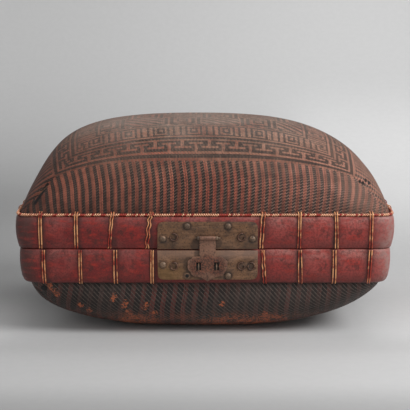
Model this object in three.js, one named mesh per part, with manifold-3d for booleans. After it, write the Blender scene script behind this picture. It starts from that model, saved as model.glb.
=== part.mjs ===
// Pillow-shaped woven bamboo box. A domed lid and a bowl-shaped base of fine bamboo weave each
// carry a lacquered band outside and a plain hoop inside, laced together with rattan. A brass
// hasp with two staples closes the front, and two brass hinges join the back.
// Millimetres, +Z up. The front faces -Y and z = 0 is the surface that the box stands on.

import * as THREE from 'three';
import { mergeVertices } from 'three/addons/utils/BufferGeometryUtils.js';
import Module from 'manifold-3d';

const wasm = await Module();
wasm.setup();

// Clearance between pieces that touch on the real box
const SEAT = 0.3;

// Plan of the box, over the widest line of the lid's band, and how square it is at the bands and
// just beyond them
const WIDTH = 450;
const DEPTH = 330;
const PLAN_SQUARENESS = 24;
const SHOULDER_SQUARENESS = 9;

// Lid: band height and how far its face lies inside the widest line, from the seam upward
const SEAM_GAP = 0.6;
const LID_BAND_HEIGHT = 38.2;
const LID_BAND_FACE = [[0, 3.2], [0.3, 1], [0.65, 0], [1, 1.8]];

// Base: band height and how far its face lies inside the widest line, from the seam downward
const BASE_BAND_HEIGHT = 41;
const BASE_BAND_FACE = [[0, 1.5], [0.4, 1], [0.8, 4], [1, 8.5]];
const BASE_BAND_FOOT_THICKNESS = 3;
const BASE_END_INSET = 3;

// Bands, woven walls and hoops through their thickness
const BAND_THICKNESS = 5;
const WEAVE_THICKNESS = 2.4;
const HOOP_THICKNESS = 4;

// Woven dome of the lid above its band
const DOME_RISE = 103;
const DOME_END_SLOPE = 0.064;
const DOME_ROUNDING = { rise: 2, inset: 3.7 };
const DOME_TOP_SQUARENESS = 2.2;
const DOME_LEAN = -11.2;
const DOME_LEAN_START = 0.29;

// Woven bowl of the base below its band, cut flat where it stands
const BOWL_DROP = 72;
const FOOT_CUT = 3;
const BOWL_END_ROUNDING = { rise: 2.6, inset: 2.06 };
const BOWL_SIDE_ROUNDING = { rise: 2.6, inset: 3.6 };
const BOWL_BOTTOM_SQUARENESS = 3.85;
const BOWL_LEAN = -5.5;
const BOWL_LEAN_END = 0.6;

// Inner hoops. The base's hoop stands proud of the seam and locates the lid
const LID_HOOP_HEIGHT = 30;
const BASE_HOOP_HEIGHT = 34;
const LIP_HEIGHT = 5;
const LIP_CLEARANCE = 2;

// Cord that trims the top edge of the lid's band
const TRIM_RADIUS = 2.2;
const TRIM_SIDES = 5;

// Rattan ties over the bands: width, thickness and places along each side
const TIE_WIDTH = 5;
const TIE_THICKNESS = 1.2;
const TIE_CLEARANCE = 0.25;
const INNER_TIE_GAP = 0.6;
const RUNNER_HEIGHT = 3;
const LID_TIES = {
  front: [-193, -151, -109.5, -64.5, 68, 111, 154, 195],
  back: [-194, -86, -43, 0, 43, 86, 194],
  ends: [-108, -65, -22, 22, 65, 108],
};
const BASE_TIES = {
  front: [-190, -147, -105.5, -62.5, 70, 112.5, 152.5, 194],
  back: [-192, -86, -43, 0, 43, 86, 192],
  ends: [-106, -64, -21, 21, 64, 106],
};

// Lock: plates, hasp, staples, nails and wire curls
const LOCK_X = 3;
const PLATE_WIDTH = 118;
const PLATE_THICKNESS = 1.2;
const UPPER_PLATE = { bottom: 0.8, height: 32.5, corner: 8 };
const LOWER_PLATE = { top: 0.8, height: 35, corner: 8 };
const HASP_AXIS_HEIGHT = 14.4;
const HASP_PIN_RADIUS = 1.1;
const HASP_PIN_LENGTH = 30;
const HASP_BORE_CLEARANCE = 0.35;
const HASP_KNUCKLE_WALL = 1.1;
const HASP_STRAP_WIDTH = 19;
const HASP_THICKNESS = 1.4;
const HASP_HEAD = { top: -8, bottom: -38, halfWidth: 24 };
const STAPLE_SPACING = 21;
const STAPLE_HEIGHT = -19.5;
const STAPLE_WIRE_RADIUS = 0.8;
const STAPLE_LEG_SPACING = 6;
const STAPLE_REACH = 11;
const SLOT_CLEARANCE = 0.9;
const SLOT_WIDTH = 5.6;
const EYE_WIDTH = 2.4;
const EYE_WALL = 1.2;
const NAIL_HEAD_RADIUS = 3.9;
const NAIL_HEAD_RISE = 2;
const NAIL_SHANK_RADIUS = 0.8;
const LID_NAIL_LENGTH = 4;
const BASE_NAIL_LENGTH = 7;
const HOLE_CLEARANCE = 0.3;
const CURL_RADIUS = 4.4;
const CURL_WIRE_RADIUS = 0.8;

// Hinges on the back
const HINGE_X = 130;
const LEAF_WIDTH = 44;
const LEAF_HEIGHT = 26;
const LEAF_THICKNESS = 1.2;
const HINGE_PIN_RADIUS = 1.2;
const HINGE_PIN_OVERHANG = 1;
const HINGE_BORE_CLEARANCE = 0.35;
const HINGE_KNUCKLE_WALL = 1.3;
const HINGE_KNUCKLE_GAP = 0.4;
const HINGE_MIDDLE_KNUCKLE = 15;
const HINGE_NAIL_SPACING = 26;

// Facets round the plan, up the weave and round small bores
const STATIONS_PER_OCTANT = 5;
const WEAVE_LEVELS = 6;
const BORE_SIDES = 12;

// Heights and insets that follow from the sizes above
const SEAM = BOWL_DROP - FOOT_CUT + BASE_BAND_HEIGHT;
const LID_FOOT = SEAM + SEAM_GAP / 2;
const BASE_HEAD = SEAM - SEAM_GAP / 2;
const BAND_TOP = LID_FOOT + LID_BAND_HEIGHT;
const BAND_BOTTOM = BASE_HEAD - BASE_BAND_HEIGHT;

// Colours
const COLOURS = {
  weave: 0x6b4436,
  baseWeave: 0x3c2a24,
  lacquer: 0x6e2a28,
  hoop: 0x8a6038,
  rattan: 0xc39a6c,
  brass: 0x5f5040,
  haspBrass: 0x6b4a38,
};

// Point of the plan at a polar angle, for an oblong of the given half sizes and squareness
function planPoint(angle, halfX, halfY, squareness) {
  const c = Math.cos(angle);
  const s = Math.sin(angle);
  const reach = (Math.abs(c) ** squareness + Math.abs(s) ** squareness) ** (-1 / squareness);
  return new THREE.Vector2(halfX * reach * c, halfY * reach * s);
}

// Polar angles of the stations, counter-clockwise from above and closer together at the corners
function stationAngles() {
  const angles = [];
  for (let octant = 0; octant < 8; octant += 1) {
    for (let i = 0; i < STATIONS_PER_OCTANT; i += 1) {
      const share = i / STATIONS_PER_OCTANT;
      const turn = octant % 2 === 0 ? 1 - (1 - share) ** 2 : share ** 2;
      angles.push((octant + turn) * Math.PI / 4);
    }
  }
  return angles;
}
const STATIONS = stationAngles();

// Half sizes of the plan at an inset; the base is a little narrower at its ends than the lid
const lidHalf = (inset) => new THREE.Vector2(WIDTH / 2 - inset, DEPTH / 2 - inset);
const baseHalf = (inset) => new THREE.Vector2(WIDTH / 2 - BASE_END_INSET - inset, DEPTH / 2 - inset);

// Ring of points at one height
function planRing(half, z, squareness = PLAN_SQUARENESS, shiftX = 0) {
  return STATIONS.map((angle) => {
    const p = planPoint(angle, half.x, half.y, squareness);
    return new THREE.Vector3(p.x + shiftX, p.y, z);
  });
}

// Closed surface through a list of rings; a single point closes an end, and without points at
// the ends the last ring joins the first
function loft(rings) {
  const positions = [];
  const starts = rings.map((ring) => {
    const start = positions.length / 3;
    (Array.isArray(ring) ? ring : [ring]).forEach((p) => positions.push(p.x, p.y, p.z));
    return start;
  });
  const closed = Array.isArray(rings[0]);
  const count = STATIONS.length;
  const index = [];
  const steps = closed ? rings.length : rings.length - 1;
  for (let j = 0; j < steps; j += 1) {
    const k = (j + 1) % rings.length;
    const lowerPoint = !Array.isArray(rings[j]);
    const upperPoint = !Array.isArray(rings[k]);
    for (let i = 0; i < count; i += 1) {
      const n = (i + 1) % count;
      const a = starts[j] + (lowerPoint ? 0 : i);
      const b = starts[j] + (lowerPoint ? 0 : n);
      const c = starts[k] + (upperPoint ? 0 : n);
      const d = starts[k] + (upperPoint ? 0 : i);
      if (!lowerPoint) index.push(a, b, c);
      if (!upperPoint) index.push(a, c, d);
    }
  }
  const geometry = new THREE.BufferGeometry();
  geometry.setAttribute('position', new THREE.Float32BufferAttribute(positions, 3));
  geometry.setIndex(index);
  return geometry;
}

// Solids for cutting and joining
function toSolid(geometry) {
  const bare = geometry.clone();
  bare.deleteAttribute('normal');
  bare.deleteAttribute('uv');
  const merged = mergeVertices(bare, 1e-4);
  return new wasm.Manifold(new wasm.Mesh({
    numProp: 3,
    vertProperties: new Float32Array(merged.attributes.position.array),
    triVerts: new Uint32Array(merged.index.array),
  }));
}

function toGeometry(solid) {
  const mesh = solid.getMesh();
  const geometry = new THREE.BufferGeometry();
  geometry.setAttribute('position', new THREE.Float32BufferAttribute(mesh.vertProperties, 3));
  geometry.setIndex([...mesh.triVerts]);
  return geometry;
}

function cut(geometry, tools) {
  const solid = tools.reduce((body, tool) => body.subtract(toSolid(tool)), toSolid(geometry));
  return toGeometry(solid);
}

function join(geometries) {
  const [first, ...rest] = geometries.map(toSolid);
  return toGeometry(rest.reduce((body, solid) => body.add(solid), first));
}

function placed(geometry, x, y, z) {
  return geometry.clone().translate(x, y, z);
}

// Bar of a round or polygonal section along X, centred on its middle
function barAlongX(radius, length, sides = BORE_SIDES) {
  return new THREE.CylinderGeometry(radius, radius, length, sides).rotateZ(Math.PI / 2);
}

// Bar along Y from y = 0 backward or forward by its signed length
function barAlongY(radius, length, sides = BORE_SIDES) {
  return new THREE.CylinderGeometry(radius, radius, Math.abs(length), sides).translate(0, length / 2, 0);
}

// Outline in the YZ plane made into a plate of the given width along X, centred on x = 0
function extrudeAlongX(outline, width, holes = []) {
  const shape = new THREE.Shape(outline);
  shape.holes = holes.map((hole) => new THREE.Path(hole));
  const geometry = new THREE.ExtrudeGeometry(shape, { depth: width, bevelEnabled: false });
  return geometry.translate(0, 0, -width / 2).rotateX(Math.PI / 2).rotateZ(Math.PI / 2);
}

// Outline in the XZ plane made into a plate whose back lies at y = 0 and whose face is at -Y
function extrudeForward(outline, thickness) {
  const shape = new THREE.Shape(outline);
  const geometry = new THREE.ExtrudeGeometry(shape, { depth: thickness, bevelEnabled: false });
  return geometry.rotateX(Math.PI / 2);
}

function circlePoints(radius, sides, centreX = 0, centreY = 0) {
  return Array.from({ length: sides }, (_, i) => {
    const angle = (i / sides) * 2 * Math.PI;
    return new THREE.Vector2(centreX + radius * Math.cos(angle), centreY + radius * Math.sin(angle));
  });
}

// Insets of the walls and hoops behind the bands
const lidWallInset = BAND_THICKNESS + SEAT;
const lidHoopInset = lidWallInset + WEAVE_THICKNESS + SEAT;
const baseWallTopInset = BASE_BAND_FACE[0][1] + BAND_THICKNESS + SEAT;
const baseBandFootInset = BASE_BAND_FACE.at(-1)[1] + BASE_BAND_FOOT_THICKNESS;
const baseWallBottomInset = baseBandFootInset + SEAT;

const rounding = (k, { rise, inset }) => Math.max(1 - k ** rise, 0) ** (1 / inset);
const ease = (t) => t * t * (3 - 2 * t);

// The plan's corners soften quickly beyond the band and then slowly toward the middle
function squarenessAt(k, end) {
  const shoulder = end + (SHOULDER_SQUARENESS - end) * (1 - k) ** 2;
  return shoulder + (PLAN_SQUARENESS - SHOULDER_SQUARENESS) * (1 - k) ** 10;
}

function domeRing(k, thickness) {
  const round = rounding(k, DOME_ROUNDING);
  const half = lidHalf(lidWallInset + thickness);
  half.multiply(new THREE.Vector2(round * (1 - DOME_END_SLOPE * k), round));
  const lean = DOME_LEAN * ease(Math.max((k - DOME_LEAN_START) / (1 - DOME_LEAN_START), 0));
  return planRing(half, BAND_TOP + (DOME_RISE - thickness) * k, squarenessAt(k, DOME_TOP_SQUARENESS), lean);
}

function bowlRing(k, thickness) {
  const half = baseHalf(baseWallBottomInset + thickness);
  half.multiply(new THREE.Vector2(rounding(k, BOWL_END_ROUNDING), rounding(k, BOWL_SIDE_ROUNDING)));
  const lean = BOWL_LEAN * ease(Math.min(k / BOWL_LEAN_END, 1));
  return planRing(half, BAND_BOTTOM - (BOWL_DROP - thickness) * k, squarenessAt(k, BOWL_BOTTOM_SQUARENESS), lean);
}

// Levels away from the band, closer together where the wall turns over
const levels = Array.from({ length: WEAVE_LEVELS }, (_, i) => {
  return Math.sin(((i + 1) / (WEAVE_LEVELS + 1)) * Math.PI / 2);
});

function lidShell() {
  const outer = lidHalf(lidWallInset);
  const inner = lidHalf(lidWallInset + WEAVE_THICKNESS);
  return loft([
    new THREE.Vector3(DOME_LEAN, 0, BAND_TOP + DOME_RISE - WEAVE_THICKNESS),
    ...levels.map((k) => domeRing(k, WEAVE_THICKNESS)).reverse(),
    planRing(inner, BAND_TOP),
    planRing(inner, LID_FOOT),
    planRing(outer, LID_FOOT),
    planRing(outer, BAND_TOP),
    ...levels.map((k) => domeRing(k, 0)),
    new THREE.Vector3(DOME_LEAN, 0, BAND_TOP + DOME_RISE),
  ]);
}

// The bowl ends in a flat floor: its foot stands at z = 0, one thickness of weave below the inside
function baseShell() {
  const footShare = BAND_BOTTOM / BOWL_DROP;
  const floorShare = (BAND_BOTTOM - WEAVE_THICKNESS) / (BOWL_DROP - WEAVE_THICKNESS);
  const wall = levels.filter((k) => k < Math.min(footShare, floorShare) - 0.02);
  return loft([
    new THREE.Vector3(BOWL_LEAN, 0, 0),
    bowlRing(footShare, 0),
    ...wall.map((k) => bowlRing(k, 0)).reverse(),
    planRing(baseHalf(baseWallBottomInset), BAND_BOTTOM),
    planRing(baseHalf(baseWallTopInset), BASE_HEAD),
    planRing(baseHalf(baseWallTopInset + WEAVE_THICKNESS), BASE_HEAD),
    planRing(baseHalf(baseWallBottomInset + WEAVE_THICKNESS), BAND_BOTTOM),
    ...wall.map((k) => bowlRing(k, WEAVE_THICKNESS)),
    bowlRing(floorShare, WEAVE_THICKNESS),
    new THREE.Vector3(BOWL_LEAN, 0, WEAVE_THICKNESS),
  ]);
}

// Bands outside the weave
function lidBand() {
  const face = LID_BAND_FACE.map(([f, inset]) => planRing(lidHalf(inset), LID_FOOT + f * LID_BAND_HEIGHT));
  const back = lidHalf(BAND_THICKNESS);
  return loft([...face, planRing(back, BAND_TOP), planRing(back, LID_FOOT)]);
}

function baseBand() {
  const face = BASE_BAND_FACE.map(([f, inset]) => planRing(baseHalf(inset), BASE_HEAD - f * BASE_BAND_HEIGHT));
  const back = [
    planRing(baseHalf(BASE_BAND_FACE[0][1] + BAND_THICKNESS), BASE_HEAD),
    planRing(baseHalf(baseBandFootInset), BAND_BOTTOM),
  ];
  return loft([...face.reverse(), ...back]);
}

// Hoops inside the weave. The base's hoop follows its leaning wall
const lidHoopBottom = SEAM + LIP_HEIGHT + LIP_CLEARANCE;
const lidHoopTop = lidHoopBottom + LID_HOOP_HEIGHT;
const baseHoopTop = SEAM + LIP_HEIGHT;
const baseHoopBottom = baseHoopTop - BASE_HOOP_HEIGHT;

function baseHoopInset(z) {
  const share = THREE.MathUtils.clamp((BASE_HEAD - z) / BASE_BAND_HEIGHT, 0, 1);
  const wall = THREE.MathUtils.lerp(baseWallTopInset, baseWallBottomInset, share);
  return wall + WEAVE_THICKNESS + SEAT;
}

function lidHoop() {
  const outer = lidHalf(lidHoopInset);
  const inner = lidHalf(lidHoopInset + HOOP_THICKNESS);
  return loft([
    planRing(outer, lidHoopBottom),
    planRing(outer, lidHoopTop),
    planRing(inner, lidHoopTop),
    planRing(inner, lidHoopBottom),
  ]);
}

function baseHoop() {
  const heights = [baseHoopBottom, BASE_HEAD, baseHoopTop];
  const outer = heights.map((z) => planRing(baseHalf(baseHoopInset(z)), z));
  const inner = heights.map((z) => planRing(baseHalf(baseHoopInset(z) + HOOP_THICKNESS), z));
  return loft([...outer, ...inner.reverse()]);
}

// Trim cord on the lid band's top edge, against the weave
const trimInset = lidWallInset - SEAT - TRIM_RADIUS;
const trimHeight = BAND_TOP + SEAT + TRIM_RADIUS;

function trimCord() {
  const section = circlePoints(TRIM_RADIUS, TRIM_SIDES);
  return loft(section.map((p) => planRing(lidHalf(trimInset - p.x), trimHeight + p.y)));
}

// Flats of the plan at an inset, each a start point and a direction to the next point
function flats(half) {
  const ring = planRing(half, 0).map((p) => new THREE.Vector2(p.x, p.y));
  return ring.map((start, i) => ({ start, run: ring[(i + 1) % ring.length].clone().sub(start) }));
}

// Where a tie stands on the rim, and the direction inward there
function tiePlace(half, side, place) {
  const across = side === 'front' || side === 'back';
  const axis = across ? 'x' : 'y';
  const sign = { front: -1, back: 1, left: -1, right: 1 }[side];
  const flat = flats(half(0)).find(({ start, run }) => {
    const share = (place - start[axis]) / run[axis];
    return share >= 0 && share < 1 && sign * (across ? start.y : start.x) > 0;
  });
  const share = (place - flat.start[axis]) / flat.run[axis];
  const point = flat.start.clone().addScaledVector(flat.run, share);
  return { half, point, inward: new THREE.Vector2(-flat.run.y, flat.run.x).normalize() };
}

// Distance straight in to the plan at an inset, from a spot some way along the rim
function depthAt({ half, point, inward }, inset, along) {
  const spot = point.clone().add(new THREE.Vector2(inward.y, -inward.x).multiplyScalar(along));
  const depths = flats(half(inset)).flatMap(({ start, run }) => {
    const square = inward.x * run.y - inward.y * run.x;
    const gap = start.clone().sub(spot);
    const share = (gap.x * inward.y - gap.y * inward.x) / square;
    const depth = (gap.x * run.y - gap.y * run.x) / square;
    return share >= 0 && share < 1 ? [depth] : [];
  });
  return depths.reduce((best, depth) => (Math.abs(depth) < Math.abs(best) ? depth : best));
}

// Depth at which a tie clears the rim over its whole width, on the outside or on the inside
function depthTo(place, inset, inside) {
  const depths = [-1, 0, 1].map((edge) => depthAt(place, inset, edge * TIE_WIDTH / 2));
  return inside ? Math.max(...depths) : Math.min(...depths);
}

// Outline of a strip of even thickness along a bent centre line
function stripOutline(path, thickness) {
  const sides = [[], []];
  path.forEach((p, i) => {
    const before = path[Math.max(i - 1, 0)];
    const after = path[Math.min(i + 1, path.length - 1)];
    const a = p.clone().sub(i === 0 ? p.clone().multiplyScalar(2).sub(after) : before).normalize();
    const b = (i === path.length - 1 ? a.clone() : after.clone().sub(p)).normalize();
    const normal = new THREE.Vector2(-a.y - b.y, a.x + b.x).normalize();
    const reach = thickness / 2 / Math.abs(normal.x * -a.y + normal.y * a.x);
    sides[0].push(p.clone().addScaledVector(normal, reach));
    sides[1].unshift(p.clone().addScaledVector(normal, -reach));
  });
  return [...sides[0], ...sides[1]];
}

// Piece drawn with x along the rim, y inward and z up, stood at its place on the rim
function onRim(geometry, { point, inward }) {
  const along = new THREE.Vector3(inward.y, -inward.x, 0);
  const matrix = new THREE.Matrix4().makeBasis(
    along,
    new THREE.Vector3(inward.x, inward.y, 0),
    new THREE.Vector3(0, 0, 1),
  );
  matrix.setPosition(point.x, point.y, 0);
  return geometry.clone().applyMatrix4(matrix);
}

const tieLift = SEAT + TIE_THICKNESS / 2;
const innerTieLift = INNER_TIE_GAP + TIE_THICKNESS / 2;
const lidCrossing = trimHeight + TRIM_RADIUS + tieLift;
const baseCrossing = BAND_BOTTOM - tieLift - SEAT;
const lidHoopInner = lidHoopInset + HOOP_THICKNESS;

// Centre lines of the ties as [inset, height]: over the band, through the weave and back inside
const LID_TIE_PATH = [
  ...LID_BAND_FACE.map(([f, inset]) => [inset - tieLift, LID_FOOT + SEAT + f * (LID_BAND_HEIGHT - SEAT)]),
  [trimInset - TRIM_RADIUS - tieLift, trimHeight],
  [trimInset - TRIM_RADIUS / 2, lidCrossing],
  [lidHoopInner + innerTieLift, lidCrossing],
  [lidHoopInner + innerTieLift, lidHoopBottom + SEAT],
];
const baseHoopInner = (z) => baseHoopInset(z) + HOOP_THICKNESS;
const BASE_TIE_PATH = [
  ...BASE_BAND_FACE.map(([f, inset]) => [inset - tieLift, BASE_HEAD - SEAT - f * (BASE_BAND_HEIGHT - SEAT)]),
  [BASE_BAND_FACE.at(-1)[1] + SEAT, baseCrossing],
  [baseHoopInner(baseHoopBottom) + innerTieLift, baseCrossing],
  [baseHoopInner(baseHoopBottom) + innerTieLift, baseHoopBottom],
  [baseHoopInner(BASE_HEAD) + innerTieLift, BASE_HEAD - SEAT],
];

function tiePlaces(half, ties) {
  return [
    ...ties.front.map((place) => tiePlace(half, 'front', place)),
    ...ties.back.map((place) => tiePlace(half, 'back', place)),
    ...ties.ends.map((place) => tiePlace(half, 'left', place)),
    ...ties.ends.map((place) => tiePlace(half, 'right', place)),
  ];
}

const crossingOf = (path) => path.findIndex(([, z], i) => z === path[i + 1][1]);

function tie(path, place) {
  const crossing = crossingOf(path);
  const line = path.map(([inset, z], i) => new THREE.Vector2(depthTo(place, inset, i > crossing), z));
  return onRim(extrudeAlongX(stripOutline(line, TIE_THICKNESS), TIE_WIDTH), place);
}

// Slit between the splints where a tie goes level through the weave
function tieSlit(path, place) {
  const crossing = crossingOf(path);
  const [[nearInset, z], [farInset]] = path.slice(crossing, crossing + 2);
  const near = depthTo(place, nearInset, false);
  const far = depthTo(place, farInset, true);
  const box = new THREE.BoxGeometry(
    TIE_WIDTH + 2 * TIE_CLEARANCE,
    far - near,
    TIE_THICKNESS + 2 * TIE_CLEARANCE,
  );
  return onRim(placed(box, 0, (near + far) / 2, z), place);
}

const lidTiePlaces = tiePlaces(lidHalf, LID_TIES);
const baseTiePlaces = tiePlaces(baseHalf, BASE_TIES);

// Lacing: the ties joined by a strand that runs round the inside of the hoop
function lacing(path, places, runner) {
  return join([loft(runner), ...places.map((place) => tie(path, place))]);
}

function runnerRings(half, insetAt, bottom) {
  const top = bottom + RUNNER_HEIGHT;
  const outer = [bottom, top].map((z) => planRing(half(insetAt(z) + SEAT), z));
  const inner = [top, bottom].map((z) => planRing(half(insetAt(z) + SEAT + TIE_THICKNESS), z));
  return [...outer, ...inner];
}
const lidRunner = runnerRings(lidHalf, () => lidHoopInner, lidHoopBottom + RUNNER_HEIGHT);
const baseRunner = runnerRings(
  baseHalf,
  baseHoopInner,
  BASE_HEAD - 3 * RUNNER_HEIGHT,
);

// Lock. Places on the plates are [x, z] from the lock's centre line at the seam
const plateBack = -DEPTH / 2 - SEAT;
const plateFace = plateBack - PLATE_THICKNESS;
const haspBoreRadius = HASP_PIN_RADIUS + HASP_BORE_CLEARANCE;
const haspKnuckleRadius = haspBoreRadius + HASP_KNUCKLE_WALL;
const haspAxisY = plateFace - SEAT - haspKnuckleRadius;
const haspAxisZ = SEAM + HASP_AXIS_HEIGHT;
const endNailX = PLATE_WIDTH / 2 - 6.5;
const curlX = PLATE_WIDTH / 2 - 19;
const UPPER_NAILS = { left: [-endNailX, 13], top_left: [-24, 28], top_right: [24, 28], right: [endNailX, 13] };
const LOWER_NAILS = { left: [-endNailX, -18], bottom_left: [-24, -31.3], bottom_right: [24, -31.3] };
const UPPER_CURLS = { left: [-curlX, 19.5], right: [curlX, 19.5] };
const LOWER_CURLS = { left: [-curlX, -15], right: [curlX, -15], far_right: [curlX + 11, -15] };
const nailHole = NAIL_SHANK_RADIUS + HOLE_CLEARANCE;
const stapleHole = STAPLE_WIRE_RADIUS + HOLE_CLEARANCE;
const eyeX = HASP_STRAP_WIDTH / 2 + SEAT + EYE_WIDTH / 2;
const eyeStem = 2 * EYE_WALL;

// Plate outline with its two corners away from the seam rounded
function plateOutline(seamEdge, farEdge, corner) {
  const half = PLATE_WIDTH / 2;
  const away = Math.sign(farEdge - seamEdge);
  const shape = new THREE.Shape();
  shape.moveTo(-half, seamEdge);
  shape.lineTo(half, seamEdge);
  shape.lineTo(half, farEdge - away * corner);
  shape.quadraticCurveTo(half, farEdge, half - corner, farEdge);
  shape.lineTo(-half + corner, farEdge);
  shape.quadraticCurveTo(-half, farEdge, -half, farEdge - away * corner);
  return shape.getPoints(4).slice(0, -1);
}

// Holes through a plate and into the band behind it
function holes(places, radius, depth) {
  return places.map(([x, z]) => {
    const bar = barAlongY(radius, 2 * depth, 8);
    return placed(bar, LOCK_X + x, plateFace - depth, SEAM + z);
  });
}
const lidHoleDepth = LID_NAIL_LENGTH + PLATE_THICKNESS + SEAT;
const baseHoleDepth = BASE_NAIL_LENGTH + PLATE_THICKNESS + SEAT;
const stapleLegs = [-1, 1].flatMap((side) => [-1, 1].map((leg) => [
  side * STAPLE_SPACING / 2,
  STAPLE_HEIGHT + leg * STAPLE_LEG_SPACING / 2,
]));
const eyeHoles = [-1, 1].map((side) => {
  const size = eyeStem + 2 * HOLE_CLEARANCE;
  const box = new THREE.BoxGeometry(EYE_WIDTH + 2 * HOLE_CLEARANCE, 2 * lidHoleDepth, size);
  return placed(box, LOCK_X + side * eyeX, plateFace, haspAxisZ);
});
const upperHoles = [
  ...holes([...Object.values(UPPER_NAILS), ...Object.values(UPPER_CURLS)], nailHole, lidHoleDepth),
  ...eyeHoles,
];
const lowerHoles = [
  ...holes([...Object.values(LOWER_NAILS), ...Object.values(LOWER_CURLS)], nailHole, baseHoleDepth),
  ...holes(stapleLegs, stapleHole, baseHoleDepth),
];

function upperPlate() {
  const { bottom, height, corner } = UPPER_PLATE;
  const plate = extrudeForward(plateOutline(bottom, bottom + height, corner), PLATE_THICKNESS);
  return cut(placed(plate, LOCK_X, plateBack, SEAM), upperHoles);
}

function lowerPlate() {
  const { top, height, corner } = LOWER_PLATE;
  const plate = extrudeForward(plateOutline(-top, -top - height, corner), PLATE_THICKNESS);
  return cut(placed(plate, LOCK_X, plateBack, SEAM), lowerHoles);
}

// Hasp about its own axis: a knuckle, a strap and a cloud-shaped head with two slots
function haspHead() {
  const { top, bottom, halfWidth } = HASP_HEAD;
  const at = (share) => THREE.MathUtils.lerp(top, bottom, share) - HASP_AXIS_HEIGHT;
  const lobes = [
    [HASP_STRAP_WIDTH / 2, 0],
    [halfWidth * 0.74, -0.05, halfWidth * 0.8, 0.09],
    [halfWidth * 1.02, 0.12, halfWidth * 0.97, 0.32],
    [halfWidth * 1.03, 0.5, halfWidth * 0.84, 0.6],
    [halfWidth * 0.82, 0.8, halfWidth * 0.46, 0.8],
    [halfWidth * 0.2, 0.86, 0, 1],
  ];
  const shape = new THREE.Shape();
  shape.moveTo(lobes[0][0], at(lobes[0][1]));
  lobes.slice(1).forEach(([cx, cz, x, z]) => shape.quadraticCurveTo(cx, at(cz), x, at(z)));
  [...lobes.keys()].slice(1).reverse().forEach((i) => {
    const [cx, cz] = lobes[i];
    const [x, z] = lobes[i - 1].slice(-2);
    shape.quadraticCurveTo(-cx, at(cz), -x, at(z));
  });
  return extrudeForward(shape.getPoints(4), HASP_THICKNESS);
}

function hasp() {
  const knuckle = barAlongX(haspKnuckleRadius, HASP_STRAP_WIDTH);
  const strapLength = HASP_AXIS_HEIGHT - HASP_HEAD.top + 1;
  const strap = new THREE.BoxGeometry(HASP_STRAP_WIDTH, HASP_THICKNESS, strapLength);
  const back = haspKnuckleRadius;
  const body = join([
    knuckle,
    placed(strap, 0, back - HASP_THICKNESS / 2, -strapLength / 2),
    placed(haspHead(), 0, back, 0),
  ]);
  const slotHeight = STAPLE_LEG_SPACING + 2 * (STAPLE_WIRE_RADIUS + SLOT_CLEARANCE);
  const slot = new THREE.BoxGeometry(SLOT_WIDTH, 4 * HASP_THICKNESS, slotHeight);
  return cut(body, [
    barAlongX(haspBoreRadius, 2 * HASP_STRAP_WIDTH),
    ...[-1, 1].map((side) => placed(slot, side * STAPLE_SPACING / 2, back, STAPLE_HEIGHT - HASP_AXIS_HEIGHT)),
  ]);
}

// Eye that holds one end of the hasp's pin, with a stem through the plate
function eye() {
  const bore = HASP_PIN_RADIUS + SEAT;
  const ring = barAlongX(bore + EYE_WALL, EYE_WIDTH);
  const reach = LID_NAIL_LENGTH + plateFace - haspAxisY;
  const stem = new THREE.BoxGeometry(EYE_WIDTH, reach, eyeStem);
  return cut(join([ring, placed(stem, 0, reach / 2, 0)]), [barAlongX(bore, 2 * EYE_WIDTH)]);
}

// Staple of bent wire whose legs pass through the plate into the band
function staple() {
  const bend = STAPLE_LEG_SPACING / 2;
  const legEnd = BASE_NAIL_LENGTH;
  const straight = STAPLE_REACH - bend - STAPLE_WIRE_RADIUS;
  const path = new THREE.CurvePath();
  path.add(new THREE.LineCurve3(new THREE.Vector3(0, legEnd, bend), new THREE.Vector3(0, -straight, bend)));
  const bendPoints = Array.from({ length: 7 }, (_, i) => {
    const angle = (i / 6) * Math.PI;
    return new THREE.Vector3(0, -straight - bend * Math.sin(angle), bend * Math.cos(angle));
  });
  bendPoints.slice(1).forEach((p, i) => path.add(new THREE.LineCurve3(bendPoints[i], p)));
  path.add(new THREE.LineCurve3(new THREE.Vector3(0, -straight, -bend), new THREE.Vector3(0, legEnd, -bend)));
  const section = new THREE.Shape(circlePoints(STAPLE_WIRE_RADIUS, 6));
  return new THREE.ExtrudeGeometry(section, { steps: 18, extrudePath: path, bevelEnabled: false });
}

// Domed nail, its head's back at y = 0 and its shank going inward
function nail(length) {
  const profile = [
    [0, NAIL_HEAD_RISE],
    [NAIL_HEAD_RADIUS * 0.6, NAIL_HEAD_RISE * 0.8],
    [NAIL_HEAD_RADIUS, NAIL_HEAD_RISE * 0.15],
    [NAIL_HEAD_RADIUS, 0],
    [NAIL_SHANK_RADIUS, 0],
    [NAIL_SHANK_RADIUS, -length],
    [0, -length],
  ].map(([r, h]) => new THREE.Vector2(r, h));
  return new THREE.LatheGeometry(profile.reverse(), 8).rotateX(Math.PI);
}

// Wire curl lying on the plate with a stem through it
function curl(length) {
  const ring = new THREE.TorusGeometry(CURL_RADIUS, CURL_WIRE_RADIUS, 5, 10).rotateX(Math.PI / 2);
  const stem = barAlongY(NAIL_SHANK_RADIUS, length, 8);
  return join([placed(ring, 0, -CURL_WIRE_RADIUS, -CURL_RADIUS), placed(stem, 0, -CURL_WIRE_RADIUS, 0)]);
}

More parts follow.
